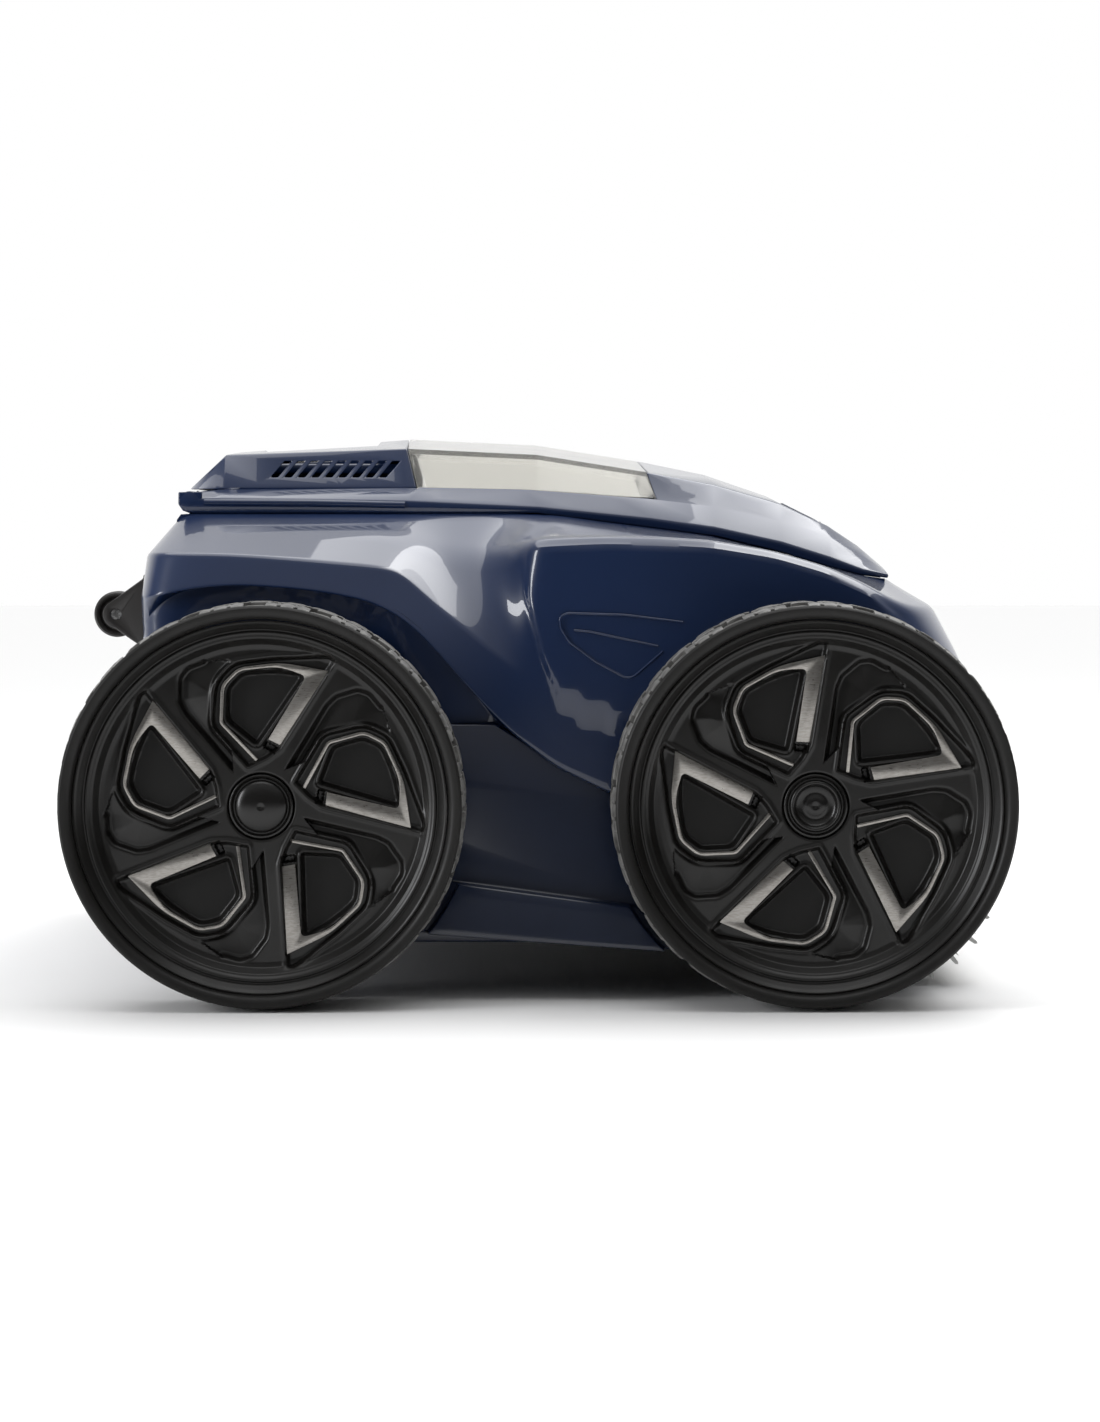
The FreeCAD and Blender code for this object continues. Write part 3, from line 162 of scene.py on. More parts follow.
def softbox(name, at, towards, width, height, watts, colour=(1, 1, 1)):
    """A rectangular lamp, placed and sized in metres."""
    light = bpy.data.lights.new(name, "AREA")
    light.shape = "RECTANGLE"
    light.size, light.size_y = width, height
    light.energy = watts
    light.color = colour
    lamp = bpy.data.objects.new(name, light)
    lamp.location = at
    lamp.rotation_euler = (Vector(towards) - Vector(at)).to_track_quat("-Z", "Y").to_euler()
    scene.collection.objects.link(lamp)


PAPER_CORNERS = [(-5, -1.3, 0), (5, -1.3, 0), (5, 9, 0), (-5, 9, 0)]       # metres
paper_mesh = bpy.data.meshes.new("studio_floor")
paper_mesh.from_pydata(PAPER_CORNERS, [], [(0, 1, 2, 3)])
paper_mesh.materials.append(Look("studio_paper", (0.86, 0.86, 0.86), 0.9).material)
paper = bpy.data.objects.new("studio_floor", paper_mesh)
scene.collection.objects.link(paper)

world = bpy.data.worlds.new("studio")
scene.world = world
world.use_nodes = True
room = world.node_tree
split = add_node(room, "ShaderNodeSeparateXYZ",
                 {0: add_node(room, "ShaderNodeTexCoord").outputs["Generated"]})
above = 0.02 + 0.48 * Value(split.outputs["Z"]).between(0.02, 0.8)
behind = 0.9 * Value(split.outputs["Y"]).between(0.1, 0.8)
seen = Value(add_node(room, "ShaderNodeLightPath").outputs["Is Camera Ray"])
room.links.new(seen.at_least(above.at_least(behind)).socket,
               room.nodes["Background"].inputs["Strength"])
room.nodes["Background"].inputs["Color"].default_value = (1, 1, 1, 1)

softbox("overhead", (0.95, 0.5, 1.6), (0.95, 0.5, 0.0), 1.2, 1.25, 19)
softbox("rear_side", (-1.6, -0.9, 0.55), (0, 0, 0.12), 0.35, 1.0, 14, (0.97, 0.98, 1.0))
sky_light = bpy.data.lights.new("sky", "SUN")
sky_light.energy = 2.0
sky_light.angle = math.radians(70)
sky = bpy.data.objects.new("sky", sky_light)
sky.rotation_euler = (math.radians(-12), 0, 0)
scene.collection.objects.link(sky)

# ------------------------------------------------------------------ lower hull
# The tub that everything stands in, with skirts between the wheels: satin navy plastic, moulded
# in one, darker than the body above. The suction cover on its underside is the same plastic.
hull_navy = Look("hull_navy", (0.006, 0.012, 0.034), 0.32, Coat_Weight=0.5, Coat_Roughness=0.18)
hull_navy.tint(hull_navy.noise(14, 3).between(0.3, 0.7), (0.005, 0.010, 0.030),
               (0.008, 0.015, 0.040))
hull_navy.bump(hull_navy.noise(900, 2), 0.02)
BOX_FACES = [(0, 1, 3, 2), (4, 6, 7, 5), (0, 4, 5, 1), (2, 3, 7, 6), (0, 2, 6, 4), (1, 5, 7, 3)]


def finish_mesh(mesh, angle=35):
    """Closes the mesh's seams, turns its faces outwards and shades it smooth up to the angle."""
    work = bmesh.new()
    work.from_mesh(mesh)
    bmesh.ops.remove_doubles(work, verts=work.verts, dist=1e-7)
    bmesh.ops.recalc_face_normals(work, faces=work.faces)
    work.to_mesh(mesh)
    work.free()
    smooth_shaded(mesh, angle)


def smooth_shaded(mesh, angle):
    mesh.shade_smooth()
    mesh.set_sharp_from_angle(angle=math.radians(angle))

def make_mesh(name, vertices, faces, materials, angle=35):
    """A mesh in millimetres, shaded smooth except across edges sharper than the angle."""
    mesh = bpy.data.meshes.new(name)
    mesh.from_pydata([tuple(c * MM for c in v) for v in vertices], [], faces)
    for look in materials:
        mesh.materials.append(look.material)
    mesh.validate()
    finish_mesh(mesh, angle)
    return mesh

def held(mesh, name="holder"):
    """An object that holds the mesh while modifiers work on it."""
    holder = bpy.data.objects.new(name, mesh)
    scene.collection.objects.link(holder)
    return holder


def bevel(holder, width_mm, segments, angle):
    modifier = holder.modifiers.new("bevel", "BEVEL")
    modifier.width = width_mm * MM
    modifier.segments = segments
    modifier.limit_method = "ANGLE"
    modifier.angle_limit = math.radians(angle)
    return modifier


def applied(holder):
    """The object's mesh with its modifiers applied; the object is removed."""
    graph = bpy.context.evaluated_depsgraph_get()
    graph.update()
    result = bpy.data.meshes.new_from_object(holder.evaluated_get(graph))
    result.name = holder.data.name
    bpy.data.objects.remove(holder)
    return result


def softened(node, width, look, keep_box=None):
    """A moulding whose CAD shape is already right, with its edges rounded to this width."""
    mesh = frame["nodes"][node].data.copy()
    mesh.name = node + "_soft"
    mesh.materials.clear()
    mesh.materials.append(look.material)
    work = bmesh.new()
    work.from_mesh(mesh)
    bmesh.ops.remove_doubles(work, verts=work.verts, dist=2e-6)
    bmesh.ops.dissolve_limit(work, angle_limit=math.radians(1.0), verts=work.verts,
                             edges=work.edges)
    work.to_mesh(mesh)
    work.free()
    for polygon in mesh.polygons:
        polygon.material_index = 0
    holder = held(mesh)
    cutter = None
    if keep_box:
        low, high = keep_box
        corners = [(x, y, z) for x in (low[0], high[0]) for y in (low[1], high[1])
                   for z in (low[2], high[2])]
        cutter = held(make_mesh("keep", corners, BOX_FACES, [look]), "keep")
        trim = holder.modifiers.new("trim", "BOOLEAN")
        trim.operation = "INTERSECT"
        trim.solver = "EXACT"
        trim.object = cutter
    if width:
        bevel(holder, width, 2, 25).use_clamp_overlap = False
    mesh = applied(holder)
    if cutter:
        bpy.data.objects.remove(cutter)
    smooth_shaded(mesh, 32)
    return mesh


def add_piece(name, mesh, body, *nodes, slot=None):
    piece = bpy.data.objects.new(name, mesh)
    scene.collection.objects.link(piece)
    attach(piece, body)
    if nodes:
        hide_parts(*nodes)
    return piece


def finish_slots(looks):
    """Gives the CAD pieces of these material slots their finish."""
    for subpart in frame["record"]["subparts"]:
        if subpart["material_slot"] in looks:
            for material_slot in frame["nodes"][subpart["node"]].material_slots:
                material_slot.material = looks[subpart["material_slot"]].material


add_piece("lower_hull_soft", softened("lower_hull", 1.0, hull_navy), "chassis", "lower_hull",
          slot="hull_navy")
finish_slots({"hull_navy": hull_navy})

# ------------------------------------------------------------------ drive, held in the hull
# The hull holds the pump and two sealed drive motors, with nylon gears, rubber belts and grey
# axles in black bushes. Steel screws hold the suction cover, steel pins carry the lid and the
# rollers, and the bracket between the brushes is grey plastic.
plastic_black = Look("roller_black", (0.016, 0.014, 0.013), 0.4, Coat_Weight=0.2,
                     Coat_Roughness=0.3)
plastic_black.bump(plastic_black.noise(1200, 2), 0.02)
grey_plastic = Look("grey_plastic", (0.12, 0.125, 0.13), 0.5)
grey_plastic.tint(grey_plastic.noise(40, 3).between(0.3, 0.7), (0.10, 0.105, 0.11),
                  (0.14, 0.145, 0.15))
grey_plastic.bump(grey_plastic.noise(1500, 2), 0.02)
white_nylon = Look("white_nylon", (0.75, 0.74, 0.70), 0.45, Subsurface_Weight=0.1)
white_nylon.tint(white_nylon.noise(60, 3).between(0.3, 0.7), (0.68, 0.67, 0.62),
                 (0.80, 0.79, 0.75))
soft_rubber = Look("gland_rubber", (0.02, 0.02, 0.02), 0.7)
soft_rubber.bump(soft_rubber.noise(900, 3), 0.03)
steel = Look("steel_pin", (0.55, 0.55, 0.55), 0.25, Metallic=1.0)
steel.roughness(0.18 + 0.16 * steel.noise(300, 3, (1, 5, 1)).between(0.3, 0.7))
finish_slots({"motor_black": plastic_black, "gear_white": white_nylon, "bush_black": plastic_black,
              "axle_grey": grey_plastic, "frame_grey": grey_plastic, "belt_black": soft_rubber,
              "gland_rubber": soft_rubber, "steel": steel})

# ------------------------------------------------------------------ filter basket, under the lid
# A grey plastic frame with a lid of its own carries fine woven cloth. Blocks of closed-cell
# foam in the body keep the cleaner upright in the water.
cloth = Look("filter_cloth", (0.55, 0.56, 0.56), 0.9)
cloth.bump(cloth.cells(1100), 0.15)
cloth.tint(cloth.cells(1100).between(0.1, 0.6), (0.40, 0.41, 0.42), (0.62, 0.63, 0.63))
foam = Look("float_foam", (0.80, 0.80, 0.78), 0.95)
foam.bump(foam.cells(420), 0.3)
finish_slots({"inner_grey": grey_plastic, "filter_cloth": cloth, "filter_lid_grey": grey_plastic,
              "foam_white": foam})

# ------------------------------------------------------------------ wheels
# Each wheel is a dished disc in satin black plastic with five pockets. A bright insert is pressed
# into each pocket, a cap closes the hub, and a rubber tyre with moulded tread sits on the rim.
# It is made about the Y axis with its outer face at Y = 0, then a copy is set on each axle.
satin_black = Look("satin_black", (0.0050, 0.0045, 0.0040), 0.33, Specular_IOR_Level=0.42)
satin_black.roughness(0.29 + 0.08 * satin_black.noise(60, 4).between(0.25, 0.75))
satin_black.bump(satin_black.noise(1600, 2), 0.015)
# The pocket floors have a rougher, less shiny black of their own. Their colour is also a shade
# darker than the face, and that darkness is painted shade for the recess.
floor_black_painted_shade = Look("pocket_floor_black", (0.0045, 0.0043, 0.004), 0.6, Specular_IOR_Level=0.3)
floor_black_painted_shade.bump(floor_black_painted_shade.noise(2200, 2), 0.03)
silver = Look("brushed_silver", (0.33, 0.315, 0.295), 0.32, Metallic=1.0)
silver.roughness(0.27 + 0.11 * silver.noise(260, 3, (1, 1, 6)).between(0.3, 0.7))
silver.tint(silver.noise(420, 2, (1, 1, 5)).between(0.3, 0.7), (0.29, 0.275, 0.255),
            (0.37, 0.355, 0.335))
cap_black = Look("cap_black", (0.005, 0.0046, 0.0042), 0.26, Specular_IOR_Level=0.45)
cap_black.bump(cap_black.noise(1500, 2), 0.01)
rubber = Look("tyre_rubber", (0.0085, 0.0080, 0.0075), 0.38, Specular_IOR_Level=0.3)
rubber.roughness(0.36 + 0.14 * rubber.noise(90, 5).between(0.25, 0.75))
rubber.bump(rubber.noise(1300, 3), 0.03)
lug_rubber = Look("lug_rubber", (0.10, 0.098, 0.094), 0.5)
lug_rubber.tint(lug_rubber.noise(160, 4).between(0.3, 0.7), (0.07, 0.068, 0.065),
                (0.19, 0.187, 0.18))
lug_rubber.bump(lug_rubber.noise(1100, 3), 0.04)


def frame_box(node):
    low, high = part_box(node)
    return [c / MM for c in low], [c / MM for c in high]


tyre_low, tyre_high = frame_box("left_front_tyre")
TREAD_R = (tyre_high[2] - tyre_low[2]) / 2
TYRE_W = tyre_high[1] - tyre_low[1]
HALF_WIDTH = tyre_high[1]
AXLE_X = (tyre_low[0] + tyre_high[0]) / 2
AXLE_Z = TREAD_R
BEAD_R = 0.9175 * TREAD_R
FACE_DEPTH = 12.5                # the flat face between the pockets, behind the tyre's side
ENDS = {"front": 1, "rear": -1}
WHEEL_PHASE = {"front": 23.0, "rear": 0.0}
POCKETS = 5
SECTOR_START = 68                # where the sector that holds the drawn pocket begins
POCKET_LIP = [(8.9, 26.2), (34.2, 66.2), (31.8, 68.8), (5.0, 68.0), (-12.7, 65.8),
              (-21.3, 56.7), (-23.0, 36.7), (-6.0, 17.4), (2.6, 21.6)]
POCKET_LIP_R = [5, 1.5, 1.5, 60, 12, 14, 9, 1.5, 5]
POCKET_FLOOR = [(19.9, 59.9), (-2.0, 28.2), (-15.6, 39.2), (-15.1, 53.4), (-9.0, 60.3),
                (5.0, 61.6)]
POCKET_FLOOR_R = [2.4, 1.5, 6, 6, 8, 60]
POCKET_SLOT = [(8.2, 26.6), (2.4, 29.6), (0.6, 26.8), (6.4, 23.6)]
SCOOP_EDGE = [(-12.6, 14.6), (-35.6, 41.6), (-38.4, 47.4), (-38.2, 58.6), (-34.4, 63.8),
              (-27.0, 66.6)]
SCOOP_EDGE_R = [0, 14, 6, 6, 8, 0]
SCOOP_BACK = [(-12.0, 66.0), (-14.0, 40.0), (-12.6, 14.6)]
# How deep each feature lies below the face, or how high a bead stands on it.
SCOOP_DEPTH, POCKET_STEP, FLOOR_STEP, SLOT_STEP = 5.2, 3.0, 3.4, 3.0
LIP_BEAD, FLOOR_BEAD = 0.75, 1.5
DISC_BASE = [(0, 11.0), (30, 11.3), (60, 12.2), (71.5, FACE_DEPTH), (73.5, 11.9), (76.4, 8.3),
             (77.2, 7.9), (77.9, 7.2), (78.8, 6.6), (79.5, 6.7), (79.9, 7.6), (80.6, 7.5),
             (83.4, 4.4), (84.0, 4.0), (84.5, 3.3), (85.0, 3.5)]
DISC_BASE_R = 85.32              # the bead radius that DISC_BASE was drawn for
TRIM_SET_BACK, TRIM_FOOT = 0.55, 3.4     # from the face back to the insert's front and foot


def rounded(points, radii, steps=5, closed=True):
    """The corners of a flat outline, each turned into an arc of its radius."""
    count = len(points)
    if not hasattr(radii, "__len__"):
        radii = [radii] * count
    result = []
    for i, (corner, radius) in enumerate(zip(points, radii)):
        here = np.array(corner, float)
        if radius <= 0 or (not closed and i in (0, count - 1)):
            result.append(here)
            continue
        before = np.array(points[i - 1], float) - here
        after = np.array(points[(i + 1) % count], float) - here
        room = 0.48 * min(np.linalg.norm(before), np.linalg.norm(after))
        before /= np.linalg.norm(before)
        after /= np.linalg.norm(after)
        half = math.acos(max(-1, min(1, float(before @ after)))) / 2
        if half > math.radians(88):
            result.append(here)
            continue
        reach = min(radius / math.tan(half), room)
        start, end = here + before * reach, here + after * reach
        for k in range(steps + 1):
            t = k / steps
            result.append((1 - t) ** 2 * start + 2 * t * (1 - t) * here + t * t * end)
    return [tuple(p) for p in result]


def smooth_step(value, low, high):
    t = np.clip((value - low) / (high - low), 0, 1)
    return t * t * (3 - 2 * t)


def edge_distance(points, outline, closed=True):
    """Each point's distance to the outline, and whether it lies inside it."""
    corners = np.array(outline)
    starts = corners if closed else corners[:-1]
    ends = np.roll(corners, -1, 0) if closed else corners[1:]
    nearest = np.full(len(points), 1e9)
    inside = np.zeros(len(points), bool)
    for a, b in zip(starts, ends):
        along = b - a
        t = np.clip(((points - a) @ along) / (along @ along), 0, 1)
        nearest = np.minimum(nearest, np.linalg.norm(points - a - t[:, None] * along, axis=1))
        crosses = (a[1] > points[:, 1]) != (b[1] > points[:, 1])
        reach = a[0] + (points[:, 1] - a[1]) * (b[0] - a[0]) / (b[1] - a[1] + 1e-12)
        inside ^= crosses & (points[:, 0] < reach)
    return nearest, inside


def signed(points, corners, radii):
    distance, inside = edge_distance(points, rounded(corners, radii))
    return np.where(inside, -distance, distance)


def pocket_relief(points):
    """How much deeper than its base the disc is, at points of one pocket's sector."""
    lip = signed(points, POCKET_LIP, POCKET_LIP_R)
    floor = signed(points, POCKET_FLOOR, POCKET_FLOOR_R)
    slot = signed(points, POCKET_SLOT, 0.6)
    scoop_line = rounded(SCOOP_EDGE, SCOOP_EDGE_R, closed=False)
    scoop, _ = edge_distance(points, scoop_line, False)
    _, inside = edge_distance(points, scoop_line + SCOOP_BACK)
    fall = smooth_step(scoop, 0, 3.2) * np.clip(1 - scoop / 20, 0, 1) ** 1.6
    depth = SCOOP_DEPTH * np.where(inside, fall, 0) * smooth_step(lip, -0.5, 1.6)
    depth -= LIP_BEAD * np.exp(-((lip - 0.55) / 0.85) ** 2)
    depth += POCKET_STEP * smooth_step(-lip, 0.1, 1.9)
    depth -= FLOOR_BEAD * np.exp(-((floor - 1.3) / 0.95) ** 2) * smooth_step(-lip, 1.5, 3)
    depth += FLOOR_STEP * smooth_step(-floor, -0.6, 1.5)
    depth += SLOT_STEP * smooth_step(-slot, 0, 0.7)
    return depth


def bridged(rings, steps, closed):
    """Faces between neighbouring rings of vertices, with triangles where a ring is one point."""
    faces = []
    for first, second in zip(rings, rings[1:] + rings[:1] if closed else rings[1:]):
        for k in range(steps):
            n = (k + 1) % steps
            corner = [first[k], first[n], second[n], second[k]]
            corner = [v for j, v in enumerate(corner) if v != corner[j - 1]]
            if len(corner) > 2:
                faces.append(corner)
    return faces


def turned_mesh(profile, steps, closed=True):
    """Vertices and faces of a profile of (radius, Y) turned about the Y axis."""
    vertices, rings = [], []
    for radius, y in profile:
        if radius < 1e-6:
            rings.append([len(vertices)] * steps)
            vertices.append((0, y, 0))
            continue
        rings.append(list(range(len(vertices), len(vertices) + steps)))
        for k in range(steps):
            angle = 2 * math.pi * k / steps
            vertices.append((radius * math.cos(angle), y, radius * math.sin(angle)))
    return vertices, bridged(rings, steps, closed)


def disc_mesh(spokes=96, sectors=110):
    """The dished disc as one closed shell: a relief in front, the rim barrel and hub behind."""
    radii = np.concatenate([np.linspace(0.0, 14, 8)[1:], np.linspace(14, 72, spokes)[1:],
                            np.linspace(72, BEAD_R - 0.5, 42)[1:]])
    steps = POCKETS * sectors
    angles = 2 * np.pi * np.arange(steps) / steps
    grid_r, grid_a = np.meshgrid(radii, angles, indexing="ij")
    # Every pocket's sector is turned back onto the one that the corners describe, and a scoop
    # that reaches into the next sector is read there as well.
    sector = 2 * np.pi / POCKETS
    start = np.radians(SECTOR_START)
    turned = (grid_a - start) % sector + start
    own, other = (pocket_relief(np.stack([grid_r * np.cos(a), grid_r * np.sin(a)],
                                         -1).reshape(-1, 2)) for a in (turned, turned - sector))
    depth = np.where(np.abs(other) > np.abs(own), other, own).reshape(grid_r.shape)
    depth *= smooth_step(grid_r, 15.5, 17.5) * (1 - smooth_step(grid_r, 73.5, 75.5))
    scale = BEAD_R / DISC_BASE_R
    depth = depth + np.interp(grid_r, [r * scale for r, _ in DISC_BASE],
                              [d for _, d in DISC_BASE])
    depth = depth + np.interp(grid_r, [0, 12.0, 14.2, 15.0, 15.6, 16.6], [4, 4, 4, 0.8, 0.0, 0])
    vertices = [(0.0, float(depth[0].mean()), 0.0)]
    rings = [[0] * steps]
    for i, radius in enumerate(radii):
        rings.append(list(range(len(vertices), len(vertices) + steps)))
        vertices += list(zip(radius * np.cos(angles), depth[i], radius * np.sin(angles)))
    barrel = [(BEAD_R - 0.5, 5.2), (BEAD_R - 2.5, 7), (BEAD_R - 2.5, TYRE_W - 4),
              (BEAD_R - 5.5, TYRE_W - 4), (BEAD_R - 6.5, 28), (30, 25.5), (18, 25.5), (16, 27),
              (15.5, TYRE_W - 7)]
    for radius, y in barrel:
        rings.append(list(range(len(vertices), len(vertices) + steps)))
        vertices += [(radius * math.cos(a), y, radius * math.sin(a)) for a in angles]
    rings.append([len(vertices)] * steps)
    vertices.append((0.0, TYRE_W - 7, 0.0))
    return vertices, bridged(rings, steps, False)


def trim_outline():
    """One pocket's bright insert: a thin line that widens past a sharp corner into a leg."""
    line = [(-2.5, 20.4), (-18.9, 37.7), (-18.2, 55.2), (-10.2, 63.1), (8.7, 65.4), (31.4, 61.4)]
    outer = rounded(line, [0, 4, 9, 9, 40, 0], closed=False) + [(8.9, 27.6)]
    inner = [(3.2, 30.4), (20.6, 59.0), (8.6, 63.6), (-9.6, 61.6), (-16.6, 54.6), (-17.3, 38.3),
             (-1.3, 21.5)]
    return outer + rounded(inner, [0, 2.2, 30, 7, 7, 3, 0], closed=False)


def prism(outline, near, far):
    """A flat outline of (X, Z) carried from one Y to another, as vertices and faces."""
    count = len(outline)
    vertices = [(x, near, z) for x, z in outline] + [(x, far, z) for x, z in outline]
    faces = [tuple(range(count)), tuple(range(2 * count - 1, count - 1, -1))]
    faces += [(i, (i + 1) % count, (i + 1) % count + count, i + count) for i in range(count)]
    return vertices, faces


def bevelled(mesh, width_mm):
    """The mesh with its sharp edges rounded, as a new mesh."""
    holder = held(mesh)
    bevel(holder, width_mm, 2, 30)
    return applied(holder)


def trim_mesh():
    block = prism(trim_outline(), FACE_DEPTH + TRIM_SET_BACK, FACE_DEPTH + TRIM_FOOT)
    one = bevelled(make_mesh("wheel_trim", *block, [silver]), 0.35)
    work = bmesh.new()
    for k in range(POCKETS):
        part = one.copy()
        part.transform(Matrix.Rotation(2 * math.pi * k / POCKETS, 4, "Y"))
        work.from_mesh(part)
    mesh = bpy.data.meshes.new("wheel_trim")
    work.to_mesh(mesh)
    work.free()
    mesh.materials.append(silver.material)
    finish_mesh(mesh, 40)
    return mesh


def tyre_mesh():
    """The casing without its lugs, from the bead round the sidewalls to the other bead."""
    groove = TREAD_R - 4.2
    lip = TREAD_R - 1.7
    half = [(BEAD_R - 0.35, 4.0), (BEAD_R + 0.2, 2.6), (BEAD_R + 0.9, 1.4), (BEAD_R + 2.0, 0.55),
            (BEAD_R + 3.4, 0.1), (BEAD_R + 4.9, 0.05), (lip - 1.6, 0.3), (lip - 0.7, 0.8),
            (lip, 1.6), (lip, 2.6), (lip - 0.3, 3.0), (groove, 3.1)]
    far = [(r, TYRE_W - y) for r, y in reversed(half)]
    inner = [(BEAD_R - 0.35, TYRE_W - 6), (BEAD_R - 0.35, 6)]
    vertices, faces = turned_mesh(half + far + inner, 360)
    return make_mesh("tyre", vertices, faces, [rubber], 40)


def lug_pad(start, end, low, high, top, fall=0.0, chamfer=0.35):
    """One tread block between two angles (degrees) and two widths, curved with the tyre."""
    steps = max(2, round((end - start) / 1.0))
    base = TREAD_R - 4.6
    section = [(base, low), (top - fall - chamfer, low), (top - fall, low + chamfer),
               (top, high - chamfer), (top - chamfer, high), (base, high)]
    vertices = []
    for k in range(steps + 1):
        angle = math.radians(start + (end - start) * k / steps)
        pull = 0.25 if k in (0, steps) else 0
        vertices += [((r - (pull if r > base else 0)) * math.cos(angle), y,
                      (r - (pull if r > base else 0)) * math.sin(angle)) for r, y in section]
    size = len(section)
    faces = [tuple(range(size)), tuple(reversed(range(steps * size, (steps + 1) * size)))]
    for k in range(steps):
        for j in range(size):
            n = (j + 1) % size
            faces.append((k * size + j, (k + 1) * size + j, (k + 1) * size + n, k * size + n))
    return vertices, faces


def joined(parts):
    """Several (vertices, faces) as one."""
    vertices, faces = [], []
    for part_vertices, part_faces in parts:
        faces += [tuple(i + len(vertices) for i in f) for f in part_faces]
        vertices += part_vertices
    return vertices, faces


TREAD_PERIODS = 19
# Each block of one period: its start and end angle, the widths it spans, its radius, and how far
# its outer edge falls away.
TREAD_TOP, SHOULDER_TOP, LINK_TOP = TREAD_R - 0.02, TREAD_R - 0.3, TREAD_R - 1.6
TREAD_BLOCKS = [(0.0, 3.4, 4.0, 13.5, SHOULDER_TOP, 1.0), (3.4, 4.6, 8.6, 13.5, SHOULDER_TOP, 0.5),
                (4.6, 8.2, 4.0, 13.5, SHOULDER_TOP, 1.0), (8.2, 9.4, 8.6, 13.5, SHOULDER_TOP, 0.5),
                (9.4, 12.6, 4.0, 13.5, SHOULDER_TOP, 1.0), (12.6, 18.9, 11.0, 13.5, LINK_TOP, 0.0),
                (2.0, 9.5, 15.5, TYRE_W / 2 - 1.2, TREAD_TOP, 0.0),
                (11.5, 17.0, 15.5, TYRE_W / 2 - 1.2, TREAD_TOP, 0.0)]


def tread_period():
    """The blocks of one period, and the same ones half a period on across the other half."""
    pads = []
    for start, end, low, high, top, fall in TREAD_BLOCKS:
        pads.append(lug_pad(start, end, low, high, top, fall))
    half = 180 / TREAD_PERIODS
    for start, end, low, high, top, fall in TREAD_BLOCKS:
        vertices, faces = lug_pad(start + half, end + half, low, high, top, fall)
        pads.append(([(x, TYRE_W - y, z) for x, y, z in vertices], faces))
    return make_mesh("tread_period", *joined(pads), [lug_rubber], 25)


def ring_copies(name, item, count, look):
    """Copies of an item's mesh turned about the Y axis, by Geometry Nodes, as one mesh."""
    tree = bpy.data.node_groups.new(name, "GeometryNodeTree")
    for label, kind in (("Item", "Object"), ("Count", "Int"), ("Material", "Material")):
        tree.interface.new_socket(label, in_out="INPUT", socket_type="NodeSocket" + kind)
    tree.interface.new_socket("Geometry", in_out="OUTPUT", socket_type="NodeSocketGeometry")
    entry = add_node(tree, "NodeGroupInput").outputs
    points = add_node(tree, "GeometryNodePoints", {"Count": entry["Count"]})
    source = add_node(tree, "GeometryNodeObjectInfo", {"Object": entry["Item"]})
    share = add_node(tree, "ShaderNodeMath", {0: 2 * math.pi, 1: entry["Count"]},
                     operation="DIVIDE")
    index = add_node(tree, "GeometryNodeInputIndex")
    angle = add_node(tree, "ShaderNodeMath", {0: index.outputs[0], 1: share.outputs[0]},
                     operation="MULTIPLY")
    turn = add_node(tree, "ShaderNodeCombineXYZ", {"Y": angle.outputs[0]})
    copies = add_node(tree, "GeometryNodeInstanceOnPoints",
                      {"Points": points.outputs[0], "Instance": source.outputs["Geometry"],
                       "Rotation": turn.outputs[0]})
    real = add_node(tree, "GeometryNodeRealizeInstances", {0: copies.outputs[0]})
    paint = add_node(tree, "GeometryNodeSetMaterial",
                     {"Geometry": real.outputs[0], "Material": entry["Material"]})
    add_node(tree, "NodeGroupOutput", {0: paint.outputs[0]})
    holder = held(bpy.data.meshes.new(name), name)
    modifier = holder.modifiers.new(name, "NODES")
    modifier.node_group = tree
    keys = {s.name: s.identifier for s in tree.interface.items_tree if s.in_out == "INPUT"}
    modifier[keys["Item"]] = item
    modifier[keys["Count"]] = count
    modifier[keys["Material"]] = look.material
    mesh = applied(holder)
    bpy.data.objects.remove(item)
    return mesh


def cap_mesh(bowl):
    """The hub cap: a ring, and inside it a dome or a sunk bowl."""
    face = FACE_DEPTH - 1.6
    ring = [(14.6, face + 3.5), (14.6, face + 0.3), (14.2, face - 0.15), (13.6, face - 0.15),
            (13.2, face + 0.4), (12.6, face + 1.3), (12.0, face + 1.3), (11.7, face + 0.6)]
    if bowl:
        inner = [(11.2, face - 0.2), (10.6, face - 0.4), (10.0, face - 0.1), (9.3, face + 1.2),
                 (8.2, face + 2.2), (6.5, face + 2.6), (5.2, face + 2.7), (4.6, face + 2.2),
                 (3.0, face + 1.6), (0.7, face + 1.4), (0.4, face + 1.7), (0, face + 1.7)]
    else:
        inner = [(11.2, face + 0.1), (10.2, face - 0.7), (8.0, face - 1.5), (5.0, face - 2.1),
                 (2.2, face - 2.4), (0.75, face - 2.45), (0.45, face - 2.15), (0, face - 2.15)]
    profile = ring + inner + [(0, face + 6.0), (14.6, face + 6.0)]
    vertices, faces = turned_mesh(profile, 96, closed=False)
    return make_mesh("hub_cap", vertices, faces, [cap_black], 50)


def wheel_place(end, side):
    turn = Matrix.Rotation(math.pi if side > 0 else 0, 4, "Z")
    phase = Matrix.Rotation(-math.radians(WHEEL_PHASE[end]), 4, "Y")
    spot = Vector((ENDS[end] * AXLE_X, side * HALF_WIDTH, AXLE_Z)) * MM
    return Matrix.Translation(spot) @ turn @ phase


